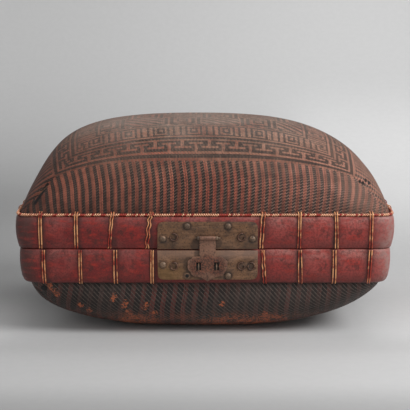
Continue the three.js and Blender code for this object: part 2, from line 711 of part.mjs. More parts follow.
// Hinges. Each leaf lies on its band's back with its knuckles on the pin's axis at the seam
const leafBack = DEPTH / 2 + SEAT;
const hingeBoreRadius = HINGE_PIN_RADIUS + HINGE_BORE_CLEARANCE;
const hingeKnuckleRadius = hingeBoreRadius + HINGE_KNUCKLE_WALL;
const hingeAxisY = leafBack + hingeKnuckleRadius;
const leafGap = hingeKnuckleRadius + HINGE_KNUCKLE_GAP;
const sideKnuckle = (LEAF_WIDTH - HINGE_MIDDLE_KNUCKLE) / 2 - HINGE_KNUCKLE_GAP;
const sideKnuckleX = LEAF_WIDTH / 2 - sideKnuckle / 2;
const leafNailHeight = leafGap + LEAF_HEIGHT / 2;

// Leaf drawn about the pin's axis; up is 1 for the lid's leaf and -1 for the base's
function leaf(up, knuckles) {
  const plateY = -hingeKnuckleRadius + LEAF_THICKNESS / 2;
  const plate = new THREE.BoxGeometry(LEAF_WIDTH, LEAF_THICKNESS, LEAF_HEIGHT);
  const pieces = [placed(plate, 0, plateY, up * (leafGap + LEAF_HEIGHT / 2))];
  knuckles.forEach(([x, width]) => {
    const tab = new THREE.BoxGeometry(width, LEAF_THICKNESS, leafGap + LEAF_THICKNESS);
    pieces.push(placed(barAlongX(hingeKnuckleRadius, width), x, 0, 0));
    pieces.push(placed(tab, x, plateY, up * (leafGap + LEAF_THICKNESS) / 2));
  });
  const bore = barAlongX(hingeBoreRadius, 2 * LEAF_WIDTH);
  const nailBars = [-1, 1].map((side) => {
    const bar = barAlongY(nailHole, 4 * LEAF_THICKNESS, 8);
    return placed(bar, side * HINGE_NAIL_SPACING / 2, -hingeKnuckleRadius - LEAF_THICKNESS, up * leafNailHeight);
  });
  return cut(join(pieces), [bore, ...nailBars]);
}

// Blind holes for the hinge nails in a band
function hingeHoles(up, depth) {
  return [-1, 1].flatMap((hinge) => [-1, 1].map((side) => {
    const bar = barAlongY(nailHole, -2 * depth, 8);
    const x = hinge * HINGE_X + side * HINGE_NAIL_SPACING / 2;
    return placed(bar, x, leafBack + LEAF_THICKNESS + depth, SEAM + up * leafNailHeight);
  }));
}

// Assembly
const box = new THREE.Group();

function add(name, geometry, colour, { metalness = 0, roughness = 0.7, at = [0, 0, 0], turn = 0 } = {}) {
  const material = new THREE.MeshStandardMaterial({ color: colour, metalness, roughness });
  const mesh = new THREE.Mesh(geometry, material);
  mesh.name = name;
  mesh.position.set(...at);
  mesh.rotation.z = turn;
  box.add(mesh);
}
const brass = { metalness: 0.85, roughness: 0.5 };

add('lid_shell', cut(lidShell(), lidTiePlaces.map((place) => tieSlit(LID_TIE_PATH, place))), COLOURS.weave);
add('lid_outer_band', cut(lidBand(), [...upperHoles, ...hingeHoles(1, lidHoleDepth)]), COLOURS.lacquer, { roughness: 0.4 });
add('lid_inner_hoop', lidHoop(), COLOURS.hoop);
add('lid_trim_cord', trimCord(), COLOURS.rattan);
add('lid_lacing', lacing(LID_TIE_PATH, lidTiePlaces, lidRunner), COLOURS.rattan);
add('base_shell', cut(baseShell(), baseTiePlaces.map((place) => tieSlit(BASE_TIE_PATH, place))), COLOURS.baseWeave);
add('base_outer_band', cut(baseBand(), [...lowerHoles, ...hingeHoles(-1, baseHoleDepth)]), COLOURS.lacquer, { roughness: 0.4 });
add('base_inner_hoop', baseHoop(), COLOURS.hoop);
add('base_lacing', lacing(BASE_TIE_PATH, baseTiePlaces, baseRunner), COLOURS.rattan);

add('lock_plate_upper', upperPlate(), COLOURS.brass, brass);
add('lock_plate_lower', lowerPlate(), COLOURS.brass, brass);
add('hasp', hasp(), COLOURS.haspBrass, { ...brass, at: [LOCK_X, haspAxisY, haspAxisZ] });
add('hasp_pin', barAlongX(HASP_PIN_RADIUS, HASP_PIN_LENGTH), COLOURS.brass, {
  ...brass, at: [LOCK_X, haspAxisY, haspAxisZ],
});
[['left', -1], ['right', 1]].forEach(([name, side]) => {
  add(`hasp_eye_${name}`, eye(), COLOURS.brass, { ...brass, at: [LOCK_X + side * eyeX, haspAxisY, haspAxisZ] });
  add(`lock_staple_${name}`, staple(), COLOURS.brass, {
    ...brass, at: [LOCK_X + side * STAPLE_SPACING / 2, plateFace, SEAM + STAPLE_HEIGHT],
  });
});
const nailLength = { upper: LID_NAIL_LENGTH, lid: LID_NAIL_LENGTH, lower: BASE_NAIL_LENGTH, base: BASE_NAIL_LENGTH };
Object.entries({ upper: UPPER_NAILS, lower: LOWER_NAILS }).forEach(([plate, places]) => {
  Object.entries(places).forEach(([name, [x, z]]) => {
    add(`lock_nail_${plate}_${name}`, nail(nailLength[plate]), COLOURS.brass, {
      ...brass, at: [LOCK_X + x, plateFace - SEAT, SEAM + z],
    });
  });
});
Object.entries({ upper: UPPER_CURLS, lower: LOWER_CURLS }).forEach(([plate, places]) => {
  Object.entries(places).forEach(([name, [x, z]]) => {
    add(`lock_curl_${plate}_${name}`, curl(nailLength[plate]), COLOURS.brass, {
      ...brass, at: [LOCK_X + x, plateFace - SEAT, SEAM + z],
    });
  });
});

[['left', -1], ['right', 1]].forEach(([name, side]) => {
  const at = [side * HINGE_X, hingeAxisY, SEAM];
  add(`hinge_${name}_lid_leaf`, leaf(1, [[0, HINGE_MIDDLE_KNUCKLE]]), COLOURS.brass, { ...brass, at });
  add(`hinge_${name}_base_leaf`, leaf(-1, [[-sideKnuckleX, sideKnuckle], [sideKnuckleX, sideKnuckle]]), COLOURS.brass, {
    ...brass, at,
  });
  add(`hinge_${name}_pin`, barAlongX(HINGE_PIN_RADIUS, LEAF_WIDTH + 2 * HINGE_PIN_OVERHANG), COLOURS.brass, {
    ...brass, at,
  });
  [['lid', 1], ['base', -1]].forEach(([half, up]) => {
    [['a', -1], ['b', 1]].forEach(([end, step]) => {
      const x = side * HINGE_X + step * HINGE_NAIL_SPACING / 2;
      add(`hinge_${name}_${half}_nail_${end}`, nail(nailLength[half]), COLOURS.brass, {
        ...brass, at: [x, leafBack + LEAF_THICKNESS + SEAT, SEAM + up * leafNailHeight], turn: Math.PI,
      });
    });
  });
});

export default box;
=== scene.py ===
"""Pillow-shaped woven bamboo box: its weave, lacquered bands, rattan lacing and brass lock."""

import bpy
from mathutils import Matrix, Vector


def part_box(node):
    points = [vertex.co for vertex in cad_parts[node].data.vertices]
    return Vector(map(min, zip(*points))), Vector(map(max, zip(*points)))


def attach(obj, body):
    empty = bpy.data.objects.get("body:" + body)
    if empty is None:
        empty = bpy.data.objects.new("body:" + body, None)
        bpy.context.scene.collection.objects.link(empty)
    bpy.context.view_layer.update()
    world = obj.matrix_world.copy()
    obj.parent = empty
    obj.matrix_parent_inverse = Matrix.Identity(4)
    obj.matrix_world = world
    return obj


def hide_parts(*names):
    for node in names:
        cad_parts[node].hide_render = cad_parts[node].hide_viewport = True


bl_info = {
    "name": "Woven Bamboo Box",
    "version": (1, 0, 0),
    "blender": (4, 5, 0),
    "location": "View3D > Sidebar > Bamboo Box",
    "description": "Weave, bands, lacing and metalwork of a pillow-shaped bamboo box",
    "category": "Add Mesh",
}

import math
import random

import bpy
import numpy as np
from mathutils import Matrix, Vector

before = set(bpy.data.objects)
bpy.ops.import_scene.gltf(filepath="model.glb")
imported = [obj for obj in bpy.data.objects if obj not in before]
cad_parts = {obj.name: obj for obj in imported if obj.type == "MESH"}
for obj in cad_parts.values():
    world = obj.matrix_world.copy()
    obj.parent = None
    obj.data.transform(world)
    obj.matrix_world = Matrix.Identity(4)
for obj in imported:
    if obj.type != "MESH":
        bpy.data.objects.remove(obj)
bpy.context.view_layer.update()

# Lengths below are in millimetres, and meshes are made in metres
MM = 0.001
MERGE_DISTANCE, TINY = 0.002, 1e-9

# Rims of the two halves: half width, half depth and squareness of the plan
LID_RIM = (225.0, 165.0)
BASE_RIM = (222.0, 165.0)
RIM_SQUARENESS, SHOULDER_SQUARENESS = 24.0, 9.0
RIM_SAMPLES = 20001
SEAM = 110.0
LID_FOOT, BAND_TOP = 110.3, 148.5
BASE_HEAD, BAND_BOTTOM = 109.7, 68.7

# Woven walls: inset from the rim, thickness, and heights of the rows behind the bands
LID_WALL_INSET = 5.3
BASE_WALL_INSETS = (6.8, 11.8)
WEAVE_THICKNESS = 2.4
LID_WALL_ROWS = (LID_FOOT, 125.0, 139.0)
BASE_WALL_ROWS = (BASE_HEAD, 96.0, 82.0)
SIDE_STATIONS = (101, 73)

# Rows of each half's outer and inner face, and the edge tucked under the patterned top
LID_ROWS, BASE_ROWS, FLOOR_RINGS = (27, 9), (25, 11), (0.66, 0.33, 0.0)
TUCK_HEIGHT, TUCK_DROP = 1.022, 0.5

# Standing splints: lean in the middle, its growth to the right and at the corners, and crowding
STRIPE_LEAN, LEAN_GROWTH, CORNER_LEAN, CROWDING, ROW_SPREAD = 0.035, 0.00035, 0.28, 0.00018, 0.0003

# Dome: rise, taper, roundness, squareness at its end, and how far and from where it leans
DOME_RISE, DOME_TAPER, DOME_ROUND, DOME_END = 103.0, 0.064, 3.7, 2.2
DOME_LEAN, LEAN_FROM = -11.2, 0.29

# Bowl: drop, roundness in height, across and along, squareness at its end, its shift and where it ends
BOWL_DROP, BOWL_ROUND, BOWL_END, BOWL_SHIFT, SHIFTED_BY = 72.0, (2.6, 2.06, 3.6), 3.85, -5.5, 0.6
FOOT_LEVEL = BAND_BOTTOM / BOWL_DROP
FLOOR_LEVEL = (BAND_BOTTOM - WEAVE_THICKNESS) / (BOWL_DROP - WEAVE_THICKNESS)

# Creases of the corners, and the line where the side stripes meet the patterned top
CREASE, CREASE_WIDTH, CREASE_END_LEVEL = 43.5, 0.55, 0.41
ARCH_LEVELS, ARCH_POWER = (0.617, 0.59), 4.2

# Each half's creases: depth, end and fade; the tear's depth, place and half height; where they draw to
LID_CREASE = (0.9, 0.56, 0.1, 3.2, 0.27, 0.085, 150.0)
BASE_CREASE = (0.8, 0.9, 0.2, 3.0, 0.17, 0.05, 60.0)

# Patterned top: cells, one for each crossing of two splints, and the rows of each part of it
TOP_COLUMNS, TOP_ROWS = 276, 204
LINE_ROWS, KEY_ROWS, SQUARE_ROWS, MIDDLE_FROM = (0, 5, 18, 23, 45), (7, 17), (26, 42), 48
KEY_REPEAT, SQUARE_REPEAT, TILE = 24, 29, 34

# Key fret: half width of a stem, then each T's place, half bar, and the rows of its bar and its stem
KEY_STEM, KEY_SHAPES = 1.6, ((-6.5, 7, (14, 15), (7, 15)), (5.5, 8, (10, 11), (10, 17)))

# Nested rectangles: their place and middle row, how flat they are, and the half bar with its dark line
SQUARE_PLACE, SQUARE_MIDDLE, SQUARE_FLATNESS, BAR_HALF, BAR_LINE = 7, 34, 0.75, 5.8, (1.6, 4.2)

# Samples along the top's edges and over the dome, halvings that find its height, and the inner face's step
EDGE_SAMPLES, DOME_SAMPLES, HALVINGS, INNER_STEP = 1201, 801, 44, 3

# Share of the bake sheet that the top's outer and inner face take, and where each begins
BAKE_SHEETS = (((0.99, 0.72), (0.005, 0.005)), ((0.34, 0.25), (0.005, 0.74)))

# Bands: inset of the face and height as a share of the band, from the seam outward
LID_BAND_SECTION = [
    (5.0, 0.0), (4.2, 0.0), (3.5, 0.012), (3.1, 0.04), (2.1, 0.15), (1.0, 0.3), (0.3, 0.48),
    (0.1, 0.65), (0.5, 0.82), (1.1, 0.94), (1.8, 0.985), (2.6, 1.0), (5.0, 1.0),
]
BASE_BAND_SECTION = [
    (6.5, 0.0), (2.8, 0.0), (2.1, 0.01), (1.7, 0.035), (1.2, 0.18), (1.1, 0.38), (1.7, 0.6),
    (3.2, 0.82), (4.9, 0.93), (6.6, 0.985), (7.8, 1.0), (11.4, 1.0),
]
BAND_STATIONS, BAND_MAP_LENGTH = 360, 15.0

# How a tie draws the band in, as a share and its reach, and the painted shade next to it: share, reach and fall-off
TIE_PINCH, PINCH_REACH = 0.45 / 165, 5
TIE_SHADING = ((0.55, 9, 2), (0.6, 4, 4))

# Cord along the top edge of the lid's band
CORD_INSET, CORD_HEIGHT = 2.8, 150.7
CORD_WRAP, CORD_STATIONS, CORD_SIDES = 2.7, 2720, 8
CORE_SHARE, WRAP_SWELL, WRAP_LEAN, CORD_WAVE, CORD_WAVES = 0.82, 0.3, 0.6, 0.12, 47

# Ties along each side of each rim
LID_TIES = {
    "front": (-193, -151, -109.5, -64.5, 68, 111, 154, 195),
    "back": (-194, -86, -43, 0, 43, 86, 194),
    "left": (-108, -65, -22, 22, 65, 108),
    "right": (-108, -65, -22, 22, 65, 108),
}
BASE_TIES = {
    "front": (-190, -147, -105.5, -62.5, 70, 112.5, 152.5, 194),
    "back": (-192, -86, -43, 0, 43, 86, 192),
    "left": (-106, -64, -21, 21, 64, 106),
    "right": (-106, -64, -21, 21, 64, 106),
}

# Ties of the front that lean and wander: half the lean and the wander, by half and place
LOOSE_TIES = {("lid", -109.5): (-4.2, 0.25), ("lid", -64.5): (-6.0, 0.75), ("base", 70): (-3.0, 0.3),
              ("lid", 68): (-3.0, 0.2)}

# Inset and height of a tie's centre line: over the band, through the weave and back inside
TIE_PATHS = {
    "lid": [
        (2.6, 110.75), (2.3, 112.0), (0.2, 122), (-0.5, 131), (-0.5, 138), (0.2, 145), (0.0, 149),
        (0.0, 151.2), (1.2, 153.0), (3.0, 153.4), (5.5, 153.8), (9.5, 154.3), (13.2, 154.0),
        (13.4, 148), (13.4, 135), (13.4, 118),
    ],
    "base": [
        (1.1, 109.25), (0.8, 108.0), (0.5, 102), (0.45, 94), (1.0, 86), (2.4, 77.5), (4.2, 71.8),
        (6.6, 68.0), (10.5, 67.4), (14.0, 67.4), (18.0, 67.8), (19.8, 70.0), (19.2, 82), (17.2, 95),
        (14.9, 108.5),
    ],
}

# Runner inside that holds the ties' ends: its inset and height, and its half section
RUNNERS = {"lid": (14.1, 115.6), "base": (16.0, 102.0)}
RUNNER_HALF, RUNNER_STATIONS = (0.5, 1.4), 240

# Ranges that each tie's slant, gap and twist, and each strand's width, bow and lift are drawn from
TIE_RANGES = ((-1.3, 1.3), (2.7, 3.4), (-0.35, 0.35))
STRAND_RANGES = ((0.85, 1.12), (-0.35, 0.35), (0.0, 0.12))
STRAND_SIDES = 8

# Each half's band: rim, ties, section, and its edges at the seam and away from it
BANDS = {
    "lid": (LID_RIM, LID_TIES, LID_BAND_SECTION, LID_FOOT, BAND_TOP),
    "base": (BASE_RIM, BASE_TIES, BASE_BAND_SECTION, BASE_HEAD, BAND_BOTTOM),
}

# Lock: centre line, face of its plates, staples and slots, and the rest across and up from the seam
LOCK_X = 3.0
PLATE_FACE = -166.5
STAPLE_X, STAPLE_Z = 10.5, -19.5
STAPLE_REACH, STAPLE_HALF, RUST_RISE = 7.2, 3, 3.5
STAPLE_RADIUS, CURL_WIRE_RADIUS, HASP_ROD_RADIUS, HINGE_ROD_RADIUS = 0.8, 0.85, 1.1, 1.2
HASP_BEVEL, EYE_BEVEL, ROD_BEVEL = 0.3, 0.2, 0.3
SHANK_RADIUS, SHANK_LENGTH, NAIL_SEAT, HEADLESS_HEIGHT = 0.8, 4.0, 1.5, 0.4
CURL_RADIUS, CURL_TIGHTENING, CURL_DROP, CURL_START, CURL_TURN = 4.6, 1.2, 4.4, 100, 300
LOCK_NAILS = {
    "upper": {"left": (-52.5, 13), "top_left": (-24, 28), "top_right": (24, 28), "right": (52.5, 13)},
    "lower": {"left": (-52.5, -18), "bottom_left": (-24, -31.3), "bottom_right": (24, -31.3)},
}
LOCK_CURLS = {
    "upper": {"left": (-40, 19.5), "right": (40, 19.5)},
    "lower": {"left": (-40, -15), "right": (40, -15), "far_right": (51, -15)},
}
HEADLESS_NAIL = "bottom_left"
# Painted shadows on the plates, across and up from the seam: under the hasp's rod and to the left of the hasp
PLATE_SHADE = ((-12, 9), (-14, 5), (11, 8), (-22, -14), (-23, -20), (-20, -26), (-10, -5))
BODY_OF_ROW = {"upper": "lid", "lower": "base"}

# Wear on the front, across and up: slits in the lid, and chips and a hole in the base; the slits and the hole are
# painted dark as the shade inside them
SLITS = [(-200 + 1.05 * k, 163 + 1.6 * k) for k in range(13)] + [(184, 186), (188, 184), (192, 186), (196, 183)]
CHIPS = ((-97, 38), (-95, 43), (-69, 40), (-72, 36), (-107, 52), (20, 41), (72, 27), (-149, 38), (-139, 31),
         (-183, 61), (-179, 57), (-177, 52), (-186, 66), (-110, 46), (-88, 24), (-92, 30), (-60, 28))
HOLE = (-192, 60)

# Kinds of the node groups' sockets that aren't plain numbers
SOCKET_KINDS = {"Cells": "Vector", "Place": "Vector",
                "Dark": "Color", "Red": "Color", "Weft": "Color", "Colour": "Color"}

# Studio, in metres: floor, curve up to the backdrop, and the camera
STAGE_WIDTH, STAGE_FRONT, BEND_FROM, BEND_RADIUS, BACKDROP = 12, -3.0, 1.1, 1.0, 3.4
CAMERA_DISTANCE, CAMERA_TILT, CAMERA_LENS, CAMERA_SHIFT = 1.8, math.radians(10), 122.4, 0.0493
LAMPS = {
    "key": ((1.35, -1.1, 1.35), (0.05, 0.0, 0.12), 1.1, 34),
    "fill": ((-1.6, -2.0, 1.3), (0.0, 0.0, 0.12), 1.6, 5),
    "top": ((0.4, 0.3, 2.2), (0.0, 0.1, 0.1), 1.8, 14),
}
SKY_LIGHT = 0.5


def linear(red, green, blue):
    """Scene colour of an 8-bit screen colour."""
    def channel(value):
        value /= 255
        return value / 12.92 if value <= 0.04045 else ((value + 0.055) / 1.055) ** 2.4
    return channel(red), channel(green), channel(blue)


def colour_property(name, description, screen_colour):
    """Colour that a user can change."""
    return bpy.props.FloatVectorProperty(
        name=name, description=description, subtype="COLOR", size=3, min=0, max=1,
        default=linear(*screen_colour),
    )


def length_property(name, description, millimetres):
    """Length that a user can change."""
    return bpy.props.FloatProperty(
        name=name, description=description, unit="LENGTH", default=millimetres * MM, min=0.0001,
    )


class BoxSizes(bpy.types.PropertyGroup):
    """Sizes of the weave, the lacing and the small metalwork."""

    splint_pitch: length_property("Splint pitch", "Width taken by one standing splint", 1.37)
    weft_pitch: length_property("Weft pitch", "Width taken by one level splint", 0.9)
    base_splint_pitch: length_property("Base splint pitch", "Standing splints of the base", 1.38)
    base_weft_pitch: length_property("Base weft pitch", "Level splints of the base", 1.4)
    cord_radius: length_property("Cord radius", "Radius of the wrapped cord on the lid", 1.5)
    strand_width: length_property("Strand width", "Width of one strand of a tie", 1.55)
    strand_thickness: length_property("Strand thickness", "Thickness of one strand", 1.0)
    nail_radius: length_property("Nail radius", "Radius of a domed nail's head", 3.8)
    nail_rise: length_property("Nail rise", "Height of a domed nail's head", 2.0)
    plate_bevel: length_property("Plate bevel", "Worn rounding along the edges of the brass", 0.25)


class BoxColours(bpy.types.PropertyGroup):
    """Colours of the finishes."""

    red_splint: colour_property("Red splint", "Stained splints of the lid", (148, 84, 66))
    black_splint: colour_property("Black splint", "Dark splints of the lid", (38, 29, 26))
    weft: colour_property("Level splint", "Splints that run round the lid", (98, 76, 66))
    dust: colour_property("Dust", "Dust and fading on the top", (164, 150, 140))
    base_red: colour_property("Base red splint", "Stained splints of the base", (82, 43, 38))
    base_black: colour_property("Base black splint", "Dark splints of the base", (28, 24, 23))
    scuff: colour_property("Scuffed splint", "Splints worn to an orange brown", (168, 90, 58))
    inside: colour_property("Inside", "Plain splints of the inside", (124, 88, 58))
    lacquer: colour_property("Lacquer", "Red lacquer of the bands", (136, 36, 32))
    # Dark lacquer paints the shade along each band's bottom edge, next to the ties and on its left corner, mixed
    # with real stains
    lacquer_dark: colour_property("Dark lacquer", "Soiled lacquer at the edges", (58, 34, 31))
    lacquer_pale: colour_property("Pale lacquer", "Rubbed lacquer", (152, 84, 78))
    rattan: colour_property("Rattan", "Pale rattan", (238, 184, 136))
    rattan_red: colour_property("Red rattan", "Rattan with lacquer on it", (150, 44, 28))
    brass: colour_property("Brass", "Aged brass", (118, 84, 58))
    brass_dark: colour_property("Dark brass", "Tarnish", (70, 50, 37))
    hasp: colour_property("Hasp", "Redder brass of the hasp", (130, 94, 76))
    hoop: colour_property("Hoop", "Plain bamboo hoops", (138, 96, 56))
    floor: colour_property("Floor", "Studio floor and backdrop", (204, 204, 204))


def sizes():
    return bpy.context.scene.bamboo_box_sizes


def colours():
    return bpy.context.scene.bamboo_box_colours


# Plan and surfaces

def points_of(x, y, z):
    """Points from coordinates, any of which may be a single number."""
    return np.stack(np.broadcast_arrays(x, y, z), -1)


def unit(vectors):
    return vectors / np.linalg.norm(vectors, axis=-1, keepdims=True)


def plan(angle, half, squareness=RIM_SQUARENESS):
    """Across and along of the plan at polar angles, for half sizes and a squareness."""
    c, s = np.cos(angle), np.sin(angle)
    reach = (np.abs(c) ** squareness + np.abs(s) ** squareness) ** (-1 / squareness)
    return half[0] * reach * c, half[1] * reach * s


def rim_ring(angle, rim, inset, z):
    """Points round a rim at an inset and a height."""
    return points_of(*plan(angle, (rim[0] - inset, rim[1] - inset)), z)


def rim_point(side, along, inset, rim):
    """Across and along of points on a rim at an inset, at places along one side."""
    on_end = side in ("left", "right")
    bow = (1 - np.minimum(np.abs(along / (rim[on_end] - inset)), 1) ** RIM_SQUARENESS) ** (1 / RIM_SQUARENESS)
    out = (rim[not on_end] - inset) * bow * (-1 if side in ("front", "left") else 1)
    return np.stack((out, along) if on_end else (along, out), -1)


def smooth_step(value):
    t = np.clip(value, 0, 1)
    return t * t * (3 - 2 * t)


def squareness_at(level, end):
    """Squareness of the plan at a level: soft corners soon after the band, softer to the end."""
    shoulder = end + (SHOULDER_SQUARENESS - end) * (1 - level) ** 2
    return shoulder + (RIM_SQUARENESS - SHOULDER_SQUARENESS) * (1 - level) ** 10


def dome_ring(level):
    """Shares of the half sizes, squareness and lean of the lid's dome at a level from 0 to 1."""
    turn = np.maximum(1 - level ** 2, 0) ** (1 / DOME_ROUND)
    lean = DOME_LEAN * smooth_step((level - LEAN_FROM) / (1 - LEAN_FROM))
    return turn * (1 - DOME_TAPER * level), turn, squareness_at(level, DOME_END), lean


def side_angle(share, quarter):
    """Polar angle along one side: quarter 0 is the front, then right, back and left."""
    half = CREASE if quarter % 2 else 90 - CREASE
    return np.radians(-90 + 90 * quarter + (2 * share - 1) * half)


def lid_side(quarter, share, height, depth=0.0):
    """Points of one side of the dome; height is 0 at the band and 1 at the patterned top."""
    peak = ARCH_LEVELS[quarter % 2]
    level = (peak - (peak - CREASE_END_LEVEL) * np.abs(2 * share - 1) ** ARCH_POWER) * height
    across, along, squareness, lean = dome_ring(level)
    half = [side - LID_WALL_INSET - depth for side in LID_RIM]
    x, y = plan(side_angle(share, quarter), (half[0] * across, half[1] * along), squareness)
    return points_of(x + lean, y, BAND_TOP + (DOME_RISE - depth) * level)


def bowl(angle, level, depth):
    """Points of the base's bowl at polar angles and levels, on its face or some depth inside."""
    turn = np.maximum(1 - level ** BOWL_ROUND[0], 0)
    half = [(side - BASE_WALL_INSETS[1] - depth) * turn ** (1 / power)
            for side, power in zip(BASE_RIM, BOWL_ROUND[1:])]
    x, y = plan(angle, half, squareness_at(level, BOWL_END))
    return points_of(x + BOWL_SHIFT * smooth_step(level / SHIFTED_BY), y, BAND_BOTTOM - (BOWL_DROP - depth) * level)


def running_length(points, axis=0):
    """Distance walked along one axis of a grid of points."""
    steps = np.linalg.norm(np.diff(points, axis=axis), axis=-1)
    return np.concatenate([np.zeros_like(steps.take([0], axis)), np.cumsum(steps, axis)], axis)


def ring_angles(rim, count):
    """Polar angles that space stations evenly along a rim, and its length."""
    fine = np.linspace(0, 2 * np.pi, RIM_SAMPLES)
    walked = running_length(np.stack(plan(fine, rim), -1))
    return np.interp(np.arange(count) * walked[-1] / count, walked, fine), walked[-1]


# Meshes

def take(piece):
    """Selects one piece alone and makes it active."""
    bpy.ops.object.select_all(action="DESELECT")
    piece.select_set(True)
    bpy.context.view_layer.objects.active = piece


def new_object(name, data):
    thing = bpy.data.objects.new(name, data)
    bpy.context.scene.collection.objects.link(thing)
    return thing


def new_piece(name, vertices, faces):
    """Object of a mesh given in millimetres."""
    mesh = bpy.data.meshes.new(name)
    mesh.from_pydata((vertices.reshape(-1, 3) * MM).tolist(), [], faces)
    mesh.update()
    return new_object(name, mesh)


def indices(columns, rows):
    return np.meshgrid(np.arange(columns), np.arange(rows), indexing="ij")


def grid_faces(columns, rows, closed=(False, False), start=0):
    """Quads of a grid whose points run row by row in each column; a closed way meets its start."""
    i, j = indices(columns - 1 + closed[0], rows - 1 + closed[1])
    n, m = (i + 1) % columns, (j + 1) % rows
    return start + np.stack([i * rows + j, n * rows + j, n * rows + m, i * rows + m], -1).reshape(-1, 4)


def set_uv(piece, name, corner_values):
    """Writes a UV map from one value per face corner."""
    layer = piece.data.uv_layers.new(name=name)
    layer.data.foreach_set("uv", np.asarray(corner_values, dtype=np.float32).ravel())


def vertex_uv(piece, name, *values):
    """Writes a UV map from one value per vertex."""
    loops = np.empty(len(piece.data.loops), dtype=np.int32)
    piece.data.loops.foreach_get("vertex_index", loops)
    set_uv(piece, name, np.concatenate([part.reshape(-1, 2) for part in values])[loops])


def set_attribute(piece, name, domain, values):
    """Writes one number per point or face; those beyond the values get 0."""
    attribute = piece.data.attributes.new(name, "FLOAT", domain)
    padded = np.zeros(len(attribute.data), dtype=np.float32)
    padded[:len(values)] = values
    attribute.data.foreach_set("value", padded)


def edit_all(piece, operator, **settings):
    """Runs one mesh operator on the whole of a piece."""
    take(piece)
    bpy.ops.object.mode_set(mode="EDIT")
    bpy.ops.mesh.select_all(action="SELECT")
    operator(**settings)
    bpy.ops.object.mode_set(mode="OBJECT")


def merge_seams(piece):
    edit_all(piece, bpy.ops.mesh.remove_doubles, threshold=MERGE_DISTANCE * MM)


def smooth(piece, degrees=40):
    take(piece)
    bpy.ops.object.shade_smooth_by_angle(angle=math.radians(degrees))
    return piece


def apply_place(piece):
    """Puts a piece's place into its mesh."""
    take(piece)
    bpy.ops.object.transform_apply(location=True, rotation=True, scale=True)
    return piece


def bevelled(piece, width, segments=2, degrees=30):
    """Rounds the edges that turn by more than some degrees."""
    modifier = piece.modifiers.new("worn edges", "BEVEL")
    modifier.width, modifier.segments = width, segments
    modifier.limit_method, modifier.angle_limit = "ANGLE", math.radians(degrees)
    take(piece)
    bpy.ops.object.modifier_apply(modifier=modifier.name)
    return smooth(piece)


def dress(piece, body, slot, node, *materials):
    """Gives a piece its finishes, hangs it on its body and hides the part that it stands for."""
    # Clearing also resets each face's slot, so meshes made here, which have none, go without
    if piece.data.materials:
        piece.data.materials.clear()
    for material in materials:
        piece.data.materials.append(material)
    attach(piece, body)
    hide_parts(node)


def wire(name, points, place, radius, resolution=2):
    """Round wire along points round a place on the lock, made from a curve with filled ends."""
    origin = (LOCK_X + place[0], PLATE_FACE, SEAM + place[1])
    curve = bpy.data.curves.new(name, "CURVE")
    curve.dimensions, curve.use_fill_caps = "3D", True
    curve.bevel_depth, curve.bevel_resolution = radius * MM, resolution
    spline = curve.splines.new("POLY")
    spline.points.add(len(points) - 1)
    for spot, point in zip(spline.points, points):
        spot.co = (*[(a + b) * MM for a, b in zip(point, origin)], 1)
    take(new_object(name, curve))
    bpy.ops.object.convert(target="MESH")
    merge_seams(bpy.context.object)
    return smooth(bpy.context.object, 60)


def join(first, other):
    """One piece of two."""
    take(first)
    other.select_set(True)
    bpy.ops.object.join()
    return first


def copy_of(piece, name, matrix=Matrix.Identity(4)):
    """Copy with its own mesh, moved by a matrix."""
    mesh = piece.data.copy()
    mesh.transform(matrix)
    mesh.name = name
    return new_object(name, mesh)


# Shader nodes

def step(name):
    """Method that adds a Math node for its value and the others."""
    return lambda *values: values[0].graph.math(name, *values)


class Value:
    """Output of a node; sums, products and other steps of values add nodes."""

    __add__, __sub__, __mul__ = step("ADD"), step("SUBTRACT"), step("MULTIPLY")
    __mod__, __pow__, __lt__ = step("FLOORED_MODULO"), step("POWER"), step("LESS_THAN")
    __abs__, floor, fract = step("ABSOLUTE"), step("FLOOR"), step("FRACT")
    most, sine = step("MAXIMUM"), step("SINE")

    def __init__(self, graph, socket):
        self.graph, self.socket = graph, socket

    def __rsub__(self, other):
        return self.graph.math("SUBTRACT", other, self)

    def ramp(self, low, high, out_low=0, out_high=1, kind="SMOOTHSTEP"):
        """Number that runs from out_low to out_high while the value runs from low to high."""
        return self.graph.add("ShaderNodeMapRange", (self, low, high, out_low, out_high), interpolation_type=kind)

    def noise(self, scale, detail=2, roughness=0.5):
        return self.graph.add("ShaderNodeTexNoise", {
            "Vector": self, "Scale": scale, "Detail": detail, "Roughness": roughness})

    def lot(self):
        """Random number drawn for a whole number."""
        return self.graph.add("ShaderNodeTexWhiteNoise", {"W": self}, noise_dimensions="1D")

    def stretched(self, *factors):
        return self.graph.add("ShaderNodeVectorMath", (self, factors), operation="MULTIPLY")

    def parts(self):
        return self.graph.add("ShaderNodeSeparateXYZ", (self,), None)

    def near(self, spots, radius):
        """Share from 1 to 0 round points on the front, given across and up in millimetres."""
        x, _, z = self.parts()
        flat, share = self.graph.vector(x, 0, z), 0
        for across, up in spots:
            spot = (across * MM, 0, up * MM)
            away = self.graph.add("ShaderNodeVectorMath", (flat, spot), "Value", operation="DISTANCE")
            share = away.ramp(radius * MM, 0.6 * radius * MM).most(share)
        return share


